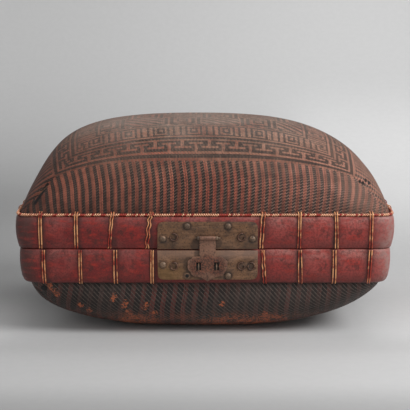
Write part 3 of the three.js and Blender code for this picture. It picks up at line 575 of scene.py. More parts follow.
class Graph:
    """Adds and links the nodes of one tree."""

    def __init__(self, tree):
        self.tree = tree

    def put(self, socket, value):
        """Fills an input; a plain tuple given as a colour is an 8-bit screen colour."""
        if isinstance(value, Value):
            self.tree.links.new(value.socket, socket)
        elif socket.type == "RGBA":
            socket.default_value = (*(linear(*value) if isinstance(value, tuple) else value), 1)
        else:
            socket.default_value = value

    def add(self, kind, values=(), output=0, **settings):
        """Adds a node, fills its inputs and returns one output, or all of them for None."""
        node = self.tree.nodes.new(kind)
        for key, value in settings.items():
            setattr(node, key, value)
        for socket, value in values.items() if isinstance(values, dict) else enumerate(values):
            self.put(node.inputs[socket], value)
        if output is None:
            return [Value(self, socket) for socket in node.outputs]
        return Value(self, node.outputs[output])

    def math(self, operation, *values):
        return self.add("ShaderNodeMath", values, operation=operation)

    def vector(self, x, y, z):
        return self.add("ShaderNodeCombineXYZ", (x, y, z))

    def map(self, name):
        return self.add("ShaderNodeUVMap", uv_map=name)

    def attribute(self, name):
        return self.add("ShaderNodeAttribute", output="Fac", attribute_name=name)

    def group(self, tree, *values):
        return self.add("ShaderNodeGroup", values, None, node_tree=tree)

    def mix(self, share, first, second, blend="MIX"):
        return self.add("ShaderNodeMix", {0: share, 6: first, 7: second}, 2, data_type="RGBA", blend_type=blend)

    def layers(self, colour, *coats):
        """Colour under coats, each given as its share and its colour."""
        for share, coat in coats:
            colour = self.mix(share, colour, coat)
        return colour

    def shaded(self, colour, light):
        return self.mix(1.0, colour, self.vector(light, light, light), "MULTIPLY")

    def shade(self, **values):
        """Fills inputs of the material's shader."""
        for socket, value in values.items():
            self.put(self.tree.nodes["Principled BSDF"].inputs[socket.replace("_", " ")], value)

    def finish(self, colour, roughness, height, millimetres, **more):
        """Fills the shader, with a relief of some millimetres, and returns the material."""
        relief = self.add("ShaderNodeBump", {"Height": height, "Distance": millimetres * MM, "Strength": 1.0})
        self.shade(Base_Color=colour, Roughness=roughness, Normal=relief, **more)
        return self.material


def new_material(name, specular, **plain):
    """Starts a material; returns its graph, the box's colours and the place on the object."""
    material = bpy.data.materials.new(name)
    material.use_nodes = True
    graph = Graph(material.node_tree)
    graph.material = material
    graph.shade(Specular_IOR_Level=specular, **plain)
    return graph, colours(), graph.add("ShaderNodeTexCoord", output="Object")


def shader_group(name, inputs, outputs, build):
    """Node group with named sockets; build gets the inputs and returns the outputs."""
    if name in bpy.data.node_groups:
        return bpy.data.node_groups[name]
    tree = bpy.data.node_groups.new(name, "ShaderNodeTree")
    for way, sockets in (("INPUT", inputs), ("OUTPUT", outputs)):
        for socket in sockets:
            kind = SOCKET_KINDS.get(socket, "Float")
            tree.interface.new_socket(socket, in_out=way, socket_type=f"NodeSocket{kind}")
    graph = Graph(tree)
    given = graph.add("NodeGroupInput", output=None)[:len(inputs)]
    graph.add("NodeGroupOutput", build(graph, *given), None)
    return tree


def twill_group():
    """Which splint shows in each cell of a striped twill: 0 dark, 1 red, 0.5 a level splint."""
    def build(graph, cells, cycle, red_splints, twill):
        x, y, _ = cells.parts()
        column, row = x.floor(), y.floor()
        stripe = column % cycle < red_splints
        level = (column - row) % twill < 0.5
        return level * 0.5 + stripe * (1 - level), level, stripe
    inputs = "Cells", "Cycle", "Red splints", "Twill"
    return shader_group("Striped twill", inputs, ("Tint", "Level", "Stripe"), build)


def splint_group():
    """Colour and relief of one splint in each cell, with painted shade toward the splint's edges and ends."""
    def build(graph, cells, tint, level, dark, red, weft, spread):
        x, y, _ = cells.parts()
        standing = 1 - level
        pick = lambda upright, lying: upright * standing + lying * level
        crown = lambda value, power: 1 - abs(value.fract() * 2 - 1) ** power
        along = pick(y, x)
        height = crown(along, 3) * 0.35 + crown(pick(x, y), 2.5) * 0.65
        splint = pick(x.floor(), y.floor() + 517)
        streak = graph.vector(splint * 3.7, along * 0.09, 0).noise(1)
        # light is each splint's random tone; shade is the painted shade in the grooves between splints
        light = splint.lot() * spread + (streak * spread + 0.35)
        shade = height * 0.62 + 0.45
        colour = graph.layers(
            dark, (tint.ramp(0, 0.5, kind="LINEAR"), weft), (tint.ramp(0.5, 1, kind="LINEAR"), red))
        return graph.shaded(colour, light * shade), height, shade
    inputs = "Cells", "Tint", "Level", "Dark", "Red", "Weft", "Spread"
    return shader_group("Splint", inputs, ("Colour", "Height", "Shade"), build)


def wear_group():
    """Patches where a finish is dusty, and patches where it is scuffed."""
    def build(graph, place, dust, scuff):
        fine = place.noise(260, 3, 0.6)
        cloud = fine * 0.45 + place.noise(14, 3, 0.55) * 0.75
        low = 0.78 - scuff * 0.4
        return cloud.ramp(0.35, 0.85) * dust, place.noise(42, 4, 0.7).ramp(low, low + 0.07), fine
    return shader_group("Dust and scuffs", ("Place", "Dust", "Scuff"), ("Dusty", "Scuffed", "Grain"), build)


# Materials

def lid_weave_material(name, patterned):
    """Two-colour weave of the lid: striped on the sides, patterned from attributes on top."""
    graph, tones, place = new_material(name, 0.18)
    cells = graph.map("splints")
    x, y, height = place.parts()
    front, climb = y.ramp(0.02, -0.08), height.ramp(0.18, 0.24)
    patch, blotch = place.noise(17, 3, 0.6), place.noise(70, 3, 0.65)
    # Red splints: paler high up, random patches, painted light on the right front and painted shade on the left end
    red = graph.layers(
        tones.red_splint, (climb, (146, 106, 86)), (patch.ramp(0.4, 0.65, 0, 0.7), (140, 68, 52)),
        (x.ramp(0.03, 0.2, 0, 0.7) * front, (184, 130, 110)), (x.ramp(-0.04, -0.14, 0, 0.7), (128, 78, 62)))
    # Black splints: greyer at the left end with its painted shade, and paler high up
    dark = graph.layers(tones.black_splint, (x.ramp(-0.04, -0.14), (52, 38, 33)), (climb, (60, 47, 41)))
    if patterned:
        tint, level, weft = graph.attribute("splint_tint"), graph.attribute("splint_level"), tones.weft
        low = height.ramp(0.215, 0.245, 0.84, 1)
    else:
        tint, level, stripe = graph.group(twill_group(), cells, 6, 3, 4)
        # Level splints are paler in the black stripes and darker in the red ones as painted light and shade, with
        # less contrast at the left end and more on the right front, where the light is painted stronger
        weft = graph.layers(
            graph.mix(stripe, (106, 84, 74), (82, 46, 38)),
            (x.ramp(-0.03, -0.13, 0, 0.8), graph.mix(stripe, (74, 56, 50), (120, 70, 54))),
            (x.ramp(0, 0.12, 0, 0.85) * front, graph.mix(stripe, (166, 138, 126), (44, 27, 24))))
        red = graph.mix(height.ramp(0.185, 0.152, 0, 0.5), red, (112, 62, 52))
        dark = graph.mix(height.ramp(0.19, 0.155, 0, 0.8), dark, (52, 41, 37))
        low = height.ramp(0.15, 0.17, 0.74, 1)
    weft = graph.mix(climb, weft, (112, 92, 80))
    colour, relief, shade = graph.group(splint_group(), cells, tint, level, dark, red, weft, 0.7)
    clean = abs(x - 0.035).ramp(0.09, 0.02) * (height.ramp(0.222, 0.234) * height.ramp(0.251, 0.2455))
    # Painted shade at the left end; also darker toward the lower edge and in random blotches
    gloom = blotch.ramp(0.35, 0.7, 1, 0.62) * (low * x.ramp(-0.16, -0.2, 1, 0.75)) * clean.ramp(0, 1, 1, 0.92)
    # Dust on the upper dome; on the right front the dusty share also paints light
    soft = height.ramp(0.185, 0.256, 0.1, 0.62) + x.ramp(0.12, 0.2, 0, 0.4) * front
    dusty, scuffed, _ = graph.group(wear_group(), place, soft * clean.ramp(0, 1, 1, 0.4), 0.08)
    faded = graph.mix(height.ramp(0.215, 0.245), (140, 112, 98), tones.dust)
    # The torn slits are painted dark as the shade inside them
    torn = place.near(SLITS, 2.2) * y.ramp(-0.1, -0.12) * blotch.ramp(0.3, 0.5)
    colour = graph.layers(
        graph.shaded(colour, gloom), (scuffed, tones.scuff), (dusty * shade.ramp(0.5, 1.05, 0.3, 1), faded),
        (torn, (24, 20, 20)))
    return graph.finish(colour, dusty.ramp(0, 0.6, 0.55, 0.85), relief, 0.35)


def base_weave_material():
    """Darker striped weave of the base, scuffed where it rests and at a corner."""
    graph, tones, place = new_material("base_weave", 0.25)
    cells = graph.map("splints")
    x, y, height = place.parts()
    front, blotch = y.ramp(-0.08, -0.1), place.noise(60, 4, 0.7)
    tint, level, _ = graph.group(twill_group(), cells, 9, 4, 4)
    red = graph.mix(place.noise(12, 3, 0.6).ramp(0.35, 0.6), tones.base_red, (52, 38, 35))
    colour, relief, shade = graph.group(
        splint_group(), cells, tint, level, tones.base_black, red, (78, 68, 63), 0.9)
    left, middle = x.ramp(-0.115, -0.09) * x.ramp(-0.05, -0.07), x.ramp(-0.02, 0.02) * x.ramp(0.12, 0.08)
    worn = height.ramp(0.014, 0.034, 1, 0) * (left + middle + 0.45)
    worn = worn * (blotch * 0.5 + place.noise(420, 2, 0.7) * 0.6).ramp(0.52, 0.6)
    chipped = place.near(CHIPS, 4.5) * place.noise(330, 2, 0.6).ramp(0.44, 0.54) * front
    dusty, _, grain = graph.group(wear_group(), place, 0.2, 0)
    # Painted shade toward the left, real scuffs, chips and dust, and the hole painted dark as the shade inside it
    colour = graph.layers(
        graph.shaded(colour, x.ramp(-0.14, -0.03, 0.78, 0.98)),
        ((worn * 0.8).most(chipped) * shade.ramp(0.5, 0.85, 0.4, 1), tones.scuff),
        (dusty, (112, 98, 90)), (place.near((HOLE,), 5) * front, (22, 18, 18)))
    return graph.finish(colour, grain.ramp(0.3, 0.7, 0.5, 0.75), relief, 0.35)


def inside_material():
    """Plain twill that shows inside both halves."""
    graph, tones, place = new_material("inside_weave", 0.3)
    cells = graph.map("splints")
    tint, level, _ = graph.group(twill_group(), cells, 1, 2, 3)
    colour, relief, _ = graph.group(
        splint_group(), cells, tint, level, (84, 56, 38), tones.inside, (104, 72, 48), 0.6)
    dusty, _, grain = graph.group(wear_group(), place, 0.3, 0)
    colour = graph.mix(dusty * 0.6, colour, (140, 112, 84))
    return graph.finish(colour, grain.ramp(0.3, 0.7, 0.6, 0.8), relief, 0.3)


def lacquer_material():
    """Worn red lacquer: bright in the middle of each panel, with painted shade at its edges and by the ties."""
    graph, tones, place = new_material("red_lacquer", 0.3, Coat_Roughness=0.3, Coat_IOR=1.4)
    along = graph.map("band")
    x, y, z = place.parts()
    rise = (z * 25.3 - 1.783).most(0.01).fract()
    grain, stain = along.stretched(60, 30, 1).noise(1, 4, 0.65), along.stretched(8, 3, 1).noise(1, 5, 0.75)
    streak, pebble = along.stretched(4.5, 7, 1).noise(1, 4, 0.6), place.noise(430, 2, 0.7)
    cloud, broad = place.noise(26, 4, 0.65), place.noise(9)
    # Painted shade toward each band's bottom edge, next to the ties and on its left corner, mixed with random
    # stains
    low = rise.ramp(0.5, 0.04) * x.ramp(-0.18, 0.05, 0.3, 0.6)
    dark = low.most(graph.attribute("tie_shade")) * cloud.ramp(0.3, 0.65, 0.5, 1)
    dark = dark.most(stain.ramp(0.47, 0.64, 0, 0.68))
    dark = dark.most(x.ramp(-0.185, -0.21, 0, 0.8) * streak.ramp(0.62, 0.42, 0.35, 1))
    # Painted sheen on the upper part of each band, stronger to the right
    sheen = x.ramp(-0.1, 0.2, 0.1, 0.26) * stain.ramp(0.35, 0.6, 0.4, 1.3) * streak.ramp(0.62, 0.4, 0.5, 1.5)
    ends = abs(x).ramp(0.194, 0.218) * abs(y).ramp(0.09, 0.13) * stain.ramp(0.4, 0.6, 0.35, 0.9)
    # The lacquer is painted lighter toward the right end, as painted light
    colour = graph.layers(
        tones.lacquer, (broad.ramp(0.35, 0.65), (112, 30, 30)), (x.ramp(0, 0.18, 0, 0.65), (162, 70, 64)),
        (grain.ramp(0.45, 0.7, 0, 0.35), (158, 62, 50)), (streak.ramp(0.46, 0.66, 0, 0.75), (154, 44, 34)),
        (cloud.ramp(0.45, 0.72, 0, 0.35), tones.lacquer_pale), (rise.ramp(0.5, 1) * sheen, (198, 150, 140)),
        (dark, tones.lacquer_dark), (pebble.ramp(0.45, 0.6, 0, 0.42), (70, 30, 28)),
        (ends, graph.mix(x.ramp(-0.1, 0.1), (78, 52, 48), (146, 114, 108))))
    return graph.finish(colour, cloud.ramp(0.3, 0.7, 0.42, 0.6), grain * 0.5 + pebble * 0.7, 0.3,
                        Coat_Weight=cloud.ramp(0.35, 0.7, 0.18, 0.04))


def rattan_material(name, map_name, wraps):
    """Rattan peel: pale where the lacquer is rubbed off, with the skin's long fibres."""
    graph, tones, place = new_material(name, 0.4)
    run = graph.map(map_name)
    x, y, _ = run.parts()
    grime, fibre = place.noise(150, 3, 0.6), run.stretched(3, 40, 1).noise(1, 3, 0.6)
    if wraps:
        turn = y * 0.6 + x
        crown = 1 - abs(turn.fract() * 2 - 1) ** 2
        lot = turn.floor().lot() * 0.5 + place.noise(45) * 0.5
        red, skin = lot.ramp(0.49, 0.67).most(crown.ramp(0.95, 0.5)), (228, 176, 144)
    else:
        crown = (y * math.pi).sine()
        red, skin = (grime * 0.4 + place.noise(48, 3, 0.6) * 0.9).ramp(0.54, 0.76), (212, 132, 74)
    colour = graph.layers(
        tones.rattan, (fibre.ramp(0.35, 0.65), skin), (red, tones.rattan_red),
        (grime.ramp(0.55, 0.75, 0, 0.6), (70, 34, 26)))
    # Each wrap and strand is painted darker toward its edges, as painted shade
    return graph.finish(graph.shaded(colour, crown.ramp(0, 0.8, 0.22, 1)), grime.ramp(0.3, 0.7, 0.35, 0.6),
                        fibre * 0.4 + crown * 0.6, 0.2)


def brass_material(name, base, dark, spots=(), rust=(), hole_shadows=(), hole_radius=4.2):
    """Aged brass: dull brown patina with tarnish, darker round its nails and a fine pitting."""
    graph, _, place = new_material(name, 0.5)
    x, _, z = place.parts()
    broad, pits = place.noise(45, 4, 0.65), place.noise(480, 3, 0.7)
    drawn = place.stretched(40, 40, 260).noise(1, 4, 0.65)
    colour = graph.layers(
        base, (broad.ramp(0.36, 0.66), dark), (drawn.ramp(0.48, 0.7, 0, 0.45), (150, 112, 86)),
        (pits.ramp(0.5, 0.64, 0, 0.75), (46, 33, 26)))
    if spots:
        seam = SEAM * MM
        lower = z < seam
        # Plates: an olive tint low on the left, the lower plate paler toward the seam, painted shade on the upper
        # plate under the hasp's rod, painted shadows of the hasp and rod, and darker rings round the nails and
        # curls
        colour = graph.layers(
            colour, (x.ramp(-0.01, -0.045) * z.ramp(0.096, 0.084) * 0.45, (122, 90, 44)),
            (lower * z.ramp(seam - 0.016, seam - 0.004, 0, 0.4), (152, 120, 104)),
            ((1 - lower) * z.ramp(seam + 0.018, seam, 0, 0.4), (62, 45, 32)),
            (place.near(from_lock(PLATE_SHADE), 7.5) * 0.6, (40, 28, 22)),
            (place.near(spots, 7) * broad.ramp(0.3, 0.6, 0.35, 0.85), (44, 32, 26)))
    if rust:
        around, speck = place.near(rust, 13), place.noise(620, 2, 0.7)
        colour = graph.layers(
            colour, (around * 0.55, (98, 54, 38)), (around * speck.ramp(0.48, 0.58, 0, 0.8), (44, 30, 26)),
            (around * speck.ramp(0.4, 0.34, 0, 0.6), (150, 70, 44)))
    # Holes and slots painted dark as the shade inside them
    if hole_shadows:
        colour = graph.mix(place.near(hole_shadows, hole_radius), colour, (10, 8, 7))
    return graph.finish(colour, broad.ramp(0.3, 0.7, 0.42, 0.6), pits * -0.6 + broad * 1.6, 0.5,
                        Metallic=pits.ramp(0.3, 0.7, 0.3, 0.15))


def hoop_material():
    """Plain bamboo hoops: long pale fibres."""
    graph, tones, place = new_material("plain_bamboo", 0.35)
    fibre, broad = place.stretched(10, 10, 900).noise(1, 3, 0.6), place.noise(20, 3, 0.6)
    colour = graph.layers(tones.hoop, (fibre.ramp(0.35, 0.65), (104, 68, 40)),
                          (broad.ramp(0.5, 0.75, 0, 0.5), (84, 58, 38)))
    return graph.finish(colour, broad.ramp(0.3, 0.7, 0.5, 0.7), fibre, 0.15)


# Weave

def side_stripe_map(points, pitch, row_pitch, flare):
    """Cell coordinates over one side: columns across, and rows from the band's edge onward."""
    across, up = running_length(points), running_length(points, 1)
    across = across - across[len(across) // 2]
    up = up - up[:, len(LID_WALL_ROWS), None]
    to_corner = np.sign(across) * (np.abs(across) / np.abs(across).max()) ** 5
    lean = STRIPE_LEAN + LEAN_GROWTH * across + CORNER_LEAN * to_corner
    closer = across + CROWDING * np.maximum(across, 0) ** 2
    rows = up / row_pitch / (1 + ROW_SPREAD * across)
    return np.stack([(closer - np.maximum(up * flare, 0) * lean) / pitch, rows], -1)


def creased(points, quarter, share, edge, reach, depth, until, fade, torn, torn_at, torn_half, centre):
    """Draws a side in along its corner creases, deeper where the front left one is torn."""
    rise = (points[..., 2] - edge) / reach
    drawn = depth * smooth_step(rise / 0.08) * smooth_step((until - rise) / fade)
    if quarter in (0, 3):
        at_tear = share < 0.5 if quarter == 0 else share > 0.5
        drawn = drawn + torn * np.exp(-((rise - torn_at) / torn_half) ** 4) * at_tear
    narrow = np.exp(-(np.minimum(share, 1 - share) * 90 / CREASE_WIDTH) ** 2)
    return points + unit((0, 0, centre) - points) * (narrow * drawn)[..., None]


def woven_wall(name, skin, edge, reach, crease, pitches, flare, closed):
    """Wall of four sides with its lining; skin gives the points of a side from the band onward."""
    vertices, faces, cells, lined, start = [], [], [], [], 0
    for quarter in range(4):
        share = np.linspace(0, 1, SIDE_STATIONS[quarter % 2])[:, None]
        outer = creased(skin(quarter, share, 0.0), quarter, share, edge, reach, *crease)
        lining = skin(quarter, share, WEAVE_THICKNESS)
        outer_map, inner_map = side_stripe_map(outer, *pitches, flare), side_stripe_map(lining, *pitches, 0.0)
        if closed:
            points = [outer, lining[:, ::-1], outer[:, :1]]
            spots = [outer_map, inner_map[:, ::-1], inner_map[:, :1]]
        else:
            points, spots = [outer[:, ::-1], lining], [outer_map[:, ::-1], inner_map]
        points = np.concatenate(points, 1)
        columns, rows = points.shape[:2]
        vertices.append(points.reshape(-1, 3))
        cells.append(np.concatenate(spots, 1))
        faces.append(grid_faces(columns, rows, start=start))
        lined.append(np.tile(np.arange(rows - 1) >= outer.shape[1], columns - 1))
        start += columns * rows
    piece = new_piece(name, np.concatenate(vertices), np.concatenate(faces).tolist())
    vertex_uv(piece, "splints", *cells)
    piece.data.polygons.foreach_set("material_index", np.concatenate(lined).astype(np.int32))
    merge_seams(piece)
    return smooth(piece, 60)


def lid_sides():
    """Striped sides of the lid, from behind the band up to the patterned top."""
    def skin(quarter, share, depth):
        heights = np.linspace(0, 1, LID_ROWS[depth > 0])
        if not depth:
            heights = np.append(heights, TUCK_HEIGHT)
        side = lid_side(quarter, share, heights[None], depth)
        if not depth:
            side[:, -1, 2] -= TUCK_DROP
        wall = side[:, :1].repeat(len(LID_WALL_ROWS), 1)
        wall[..., 2] = LID_WALL_ROWS
        return np.concatenate([wall, side], 1)
    pitches = sizes().splint_pitch / MM, sizes().weft_pitch / MM
    return woven_wall("lid_weave_sides", skin, BAND_TOP, DOME_RISE, LID_CREASE, pitches, 1.0, True)


def base_wall():
    """Base: its wall behind the band, its striped sides and its flat foot."""
    def skin(quarter, share, depth):
        angle = side_angle(share, quarter)
        drop = np.linspace(0, 1, BASE_ROWS[depth > 0]) * math.asin(FLOOR_LEVEL if depth else FOOT_LEVEL)
        body = bowl(angle, np.sin(drop)[None], depth)
        near, far = BASE_WALL_INSETS
        slope = (far - near) / (BASE_HEAD - BAND_BOTTOM)
        head = [rim_ring(angle, BASE_RIM, near + (BASE_HEAD - z) * slope + depth, z) for z in BASE_WALL_ROWS]
        middle, foot = np.array([BOWL_SHIFT, 0, depth]), body[:, -1:]
        floor = np.concatenate([middle + (foot - middle) * part for part in FLOOR_RINGS], 1)
        floor[..., 2] = depth
        return np.concatenate([*head, body, floor], 1)
    pitches = sizes().base_splint_pitch / MM, sizes().base_weft_pitch / MM
    return woven_wall("base_weave", skin, BAND_BOTTOM, -BOWL_DROP, BASE_CREASE, pitches, 0.7, False)


def dome_height(x, y):
    """Height of the dome over points of the plan."""
    low, high = np.zeros_like(x), np.ones_like(x)
    for _ in range(HALVINGS):
        level = (low + high) / 2
        across, along, squareness, lean = dome_ring(level)
        half_x, half_y = (LID_RIM[0] - LID_WALL_INSET) * across, (LID_RIM[1] - LID_WALL_INSET) * along
        outside = np.abs((x - lean) / (half_x + TINY)) ** squareness + np.abs(y / (half_y + TINY)) ** squareness > 1
        low, high = np.where(outside, low, level), np.where(outside, level, high)
    return BAND_TOP + DOME_RISE * (low + high) / 2


def evenly(walked, count, values):
    """Values at evenly spaced places of a walk."""
    return np.interp(np.linspace(0, walked[-1], count + 1), walked, values)


def blend_shares(start, end, count):
    """Shares of a line over the plan that space the splints evenly on the dome above it."""
    fine = np.linspace(0, 1, DOME_SAMPLES)
    x, y = (a + (b - a) * fine for a, b in zip(start, end))
    return evenly(running_length(points_of(x, y, dome_height(x, y))), count, fine)


def top_grid():
    """Points of the patterned top, one for each corner of a cell."""
    edges = []
    for quarter in range(4):
        edge = lid_side(quarter, np.linspace(0, 1, EDGE_SAMPLES), 1.0)[::1 if quarter < 2 else -1]
        walked, count = running_length(edge), TOP_ROWS if quarter % 2 else TOP_COLUMNS
        edges.append(np.stack([evenly(walked, count, edge[:, i]) for i in range(3)], -1))
    front, right, back, left = edges
    column, row = TOP_COLUMNS // 2, TOP_ROWS // 2
    g = blend_shares(front[column, :2], (front[column, 0], back[column, 1]), TOP_ROWS)[None, :, None]
    h = blend_shares((left[row, 0], 0), (right[row, 0], 0), TOP_COLUMNS)[:, None, None]
    corners = (1 - h) * (1 - g) * front[0] + h * (1 - g) * front[-1] + (1 - h) * g * back[0] + h * g * back[-1]
    points = (1 - g) * front[:, None] + g * back[:, None] + (1 - h) * left[None] + h * right[None] - corners
    points[..., 2] = dome_height(points[..., 0], points[..., 1])
    return points


def away(value, repeat):
    """Distance from the nearest of evenly spaced places."""
    return np.abs(np.mod(value + repeat / 2, repeat) - repeat / 2)


def within(value, limits):
    return (value >= limits[0]) & (value <= limits[1])


def key_row(along, inset):
    """Row of interlocking T shapes; true where a splint is red."""
    red = np.zeros(inset.shape, dtype=bool)
    for place, half_bar, bar, stem in KEY_SHAPES:
        spot = away(along - place, KEY_REPEAT)
        red |= ((spot < KEY_STEM) & within(inset, stem)) | ((spot < half_bar) & within(inset, bar))
    return red


def squares_row(along, inset):
    """Row of nested rectangles parted by upright bars."""
    spot = away(along - SQUARE_PLACE, SQUARE_REPEAT)
    from_centre = np.maximum(SQUARE_REPEAT / 2 - spot, np.abs(inset - SQUARE_MIDDLE) * SQUARE_FLATNESS)
    return np.where(spot < BAR_HALF, ~within(spot, BAR_LINE), np.mod(np.floor(from_centre), 4) < 2)


def top_pattern():
    """For each cell of the top: share of red in its splint, and whether it runs side to side."""
    column, row = indices(TOP_COLUMNS, TOP_ROWS)
    x, y = column - (TOP_COLUMNS - 1) / 2, row - (TOP_ROWS - 1) / 2
    from_end, from_front = np.minimum(column, TOP_COLUMNS - 1 - column), np.minimum(row, TOP_ROWS - 1 - row)
    inset, on_end = np.minimum(from_end, from_front), from_end < from_front
    along = np.where(on_end, y, x)
    keys, squares, middle = within(inset, KEY_ROWS), within(inset, SQUARE_ROWS), inset >= MIDDLE_FROM
    red = np.isin(inset, LINE_ROWS) | np.isin(inset - 1, LINE_ROWS)
    red = np.where(keys, key_row(along, inset), red)
    red = np.where(squares, squares_row(along, inset), red)
    tile_x, tile_y = x + 3 * TILE, y + 1.5 * TILE
    tile = np.mod(np.floor(tile_x / TILE) + np.floor(tile_y / TILE), 2) < 1
    in_x, in_y = (np.abs(np.mod(spot, TILE) - TILE / 2) for spot in (tile_x, tile_y))
    nested = np.mod(np.floor(np.maximum(in_x * 1.5, in_y)), 8) < 4
    red = np.where(middle, np.where(tile, nested, np.mod(x + y, 12) < 6), red)
    level = np.where(keys | squares | middle, np.mod(column + row, 4) < 2, ~on_end)
    bite = np.mod(np.where(on_end, row, column) + inset // 2, 3) == 0
    return np.where(bite, 0.22 + 0.45 * red, red).ravel(), np.where(bite, on_end, level).ravel()


def lid_top():
    """Patterned top of the lid, a closed panel with a coarser inner face."""
    points, step = top_grid(), INNER_STEP
    normal = unit(np.cross(np.gradient(points, axis=0), np.gradient(points, axis=1)))
    lower = (points - WEAVE_THICKNESS * normal)[::step, ::step]
    columns, rows, first = TOP_COLUMNS // step, TOP_ROWS // step, points[..., 0].size
    faces = grid_faces(TOP_COLUMNS + 1, TOP_ROWS + 1).tolist()
    faces += grid_faces(columns + 1, rows + 1, start=first)[:, ::-1].tolist()
    rim = [(i, 0) for i in range(columns)] + [(columns, j) for j in range(rows)]
    rim += [(columns - i, rows - j) for i, j in rim]
    for (i, j), (m, n) in zip(rim, rim[1:] + rim[:1]):
        fine = [(i * step + s * (m - i)) * (TOP_ROWS + 1) + j * step + s * (n - j) for s in range(step, -1, -1)]
        faces.append(fine + [first + i * (rows + 1) + j, first + m * (rows + 1) + n])
    piece = new_piece("lid_weave_top", np.concatenate([points.reshape(-1, 3), lower.reshape(-1, 3)]), faces)
    cells = np.stack(indices(TOP_COLUMNS + 1, TOP_ROWS + 1), -1).astype(float)
    both, size = (cells, cells[::step, ::step]), np.array([TOP_COLUMNS, TOP_ROWS])
    vertex_uv(piece, "splints", *both)
    vertex_uv(piece, "OFBake", *[part / size * span + corner for part, (span, corner) in zip(both, BAKE_SHEETS)])
    is_inner = np.arange(len(faces)) >= TOP_COLUMNS * TOP_ROWS
    piece.data.polygons.foreach_set("material_index", is_inner.astype(np.int32))
    for name, values in zip(("splint_tint", "splint_level"), top_pattern()):
        set_attribute(piece, name, "FACE", values)
    return smooth(piece, 60)


# Bands, cord and ties

def ring_loft(name, rings):
    """Closed ring of rings of points that run round the rim."""
    points = np.stack(rings, 1)
    return new_piece(name, points, grid_faces(*points.shape[:2], closed=(True, True)).tolist())


def ring_map(piece, name, along, around):
    """Map of a closed ring from the values at the edges of its columns and rows."""
    i, j = (index.ravel() for index in indices(len(along) - 1, len(around) - 1))
    corners = [np.stack([along[i + a], around[j + b]], -1) for a, b in ((0, 0), (1, 0), (1, 1), (0, 1))]
    set_uv(piece, name, np.stack(corners, 1))


def band(half, rim, ties, section, foot, head):
    """Band round one half, drawn in a little where each tie crosses it."""
    angles, _ = ring_angles(rim, BAND_STATIONS)
    x, y = plan(angles, rim)
    spots = [rim_point(side, place, 0, rim) for side, places in ties.items() for place in places]
    from_tie = np.min([np.hypot(x - spot[0], y - spot[1]) for spot in spots], 0)
    section = section if head > foot else section[::-1]
    rings = []
    for inset, share in section:
        rings.append(rim_ring(angles, rim, inset, foot + share * (head - foot)))
        if 0.02 < share < 0.98:
            rings[-1][:, :2] *= (1 - TIE_PINCH * np.exp(-(from_tie / PINCH_REACH) ** 2))[:, None]
    piece = ring_loft(f"{half}_band", rings)
    shares = np.array([share for _, share in section + section[:1]])
    ring_map(piece, "band", np.linspace(0, BAND_MAP_LENGTH, BAND_STATIONS + 1), shares)
    # Painted shade next to each tie, kept on the band's points
    tie_shading = sum(share * np.exp(-(from_tie / reach) ** power) for share, reach, power in TIE_SHADING)
    set_attribute(piece, "tie_shade", "POINT", np.clip(tie_shading, 0, 1).repeat(len(section)))
    return smooth(piece, 50)


def wrapped_cord():
    """Core along the band's top edge, wrapped with narrow rattan."""
    radius = sizes().cord_radius / MM
    angles, length = ring_angles([side - CORD_INSET for side in LID_RIM], CORD_STATIONS)
    wraps = round(length / CORD_WRAP)
    turn, rings = np.arange(CORD_STATIONS) / CORD_STATIONS, []
    for around in np.arange(CORD_SIDES) / CORD_SIDES:
        swell = radius * (CORE_SHARE + WRAP_SWELL * np.abs(np.sin(np.pi * (turn * wraps + WRAP_LEAN * around))))
        wave = CORD_WAVE * np.sin(turn * 2 * np.pi * CORD_WAVES)
        z = CORD_HEIGHT + swell * math.sin(2 * np.pi * around) + wave
        rings.append(rim_ring(angles, LID_RIM, CORD_INSET - swell * math.cos(2 * np.pi * around), z))
    piece = ring_loft("lid_wrapped_cord", rings)
    ring_map(piece, "wraps", np.linspace(0, wraps, CORD_STATIONS + 1), np.linspace(0, 1, CORD_SIDES + 1))
    return smooth(piece, 70)


def softened(points):
    """Line with its corners cut twice."""
    points = np.array(points, dtype=float)
    for _ in range(2):
        cut = np.stack([0.75 * points[:-1] + 0.25 * points[1:], 0.25 * points[:-1] + 0.75 * points[1:]], 1)
        points = np.concatenate([points[:1], cut.reshape(-1, 2)[1:-1], points[-1:]])
    return points


def strand(centre, across, width, thickness):
    """Points and map of a flat strand along a centre line, with its broad side along the rim."""
    outward = unit(np.cross(across, unit(np.gradient(centre, axis=0))))
    turns = 2 * np.pi * np.arange(STRAND_SIDES) / STRAND_SIDES
    grow = np.ones((len(centre), 1, 1))
    grow[[0, -1]] = 0.6
    points = (centre[:, None] + np.cos(turns)[:, None] * across[:, None] * (width / 2 * grow)
              + np.sin(turns)[:, None] * outward[:, None] * (thickness / 2 * grow))
    walked = np.repeat(running_length(centre) * 0.1, STRAND_SIDES)
    return points, np.stack([walked, np.tile((np.cos(turns) + 1) / 2, len(centre))], -1)


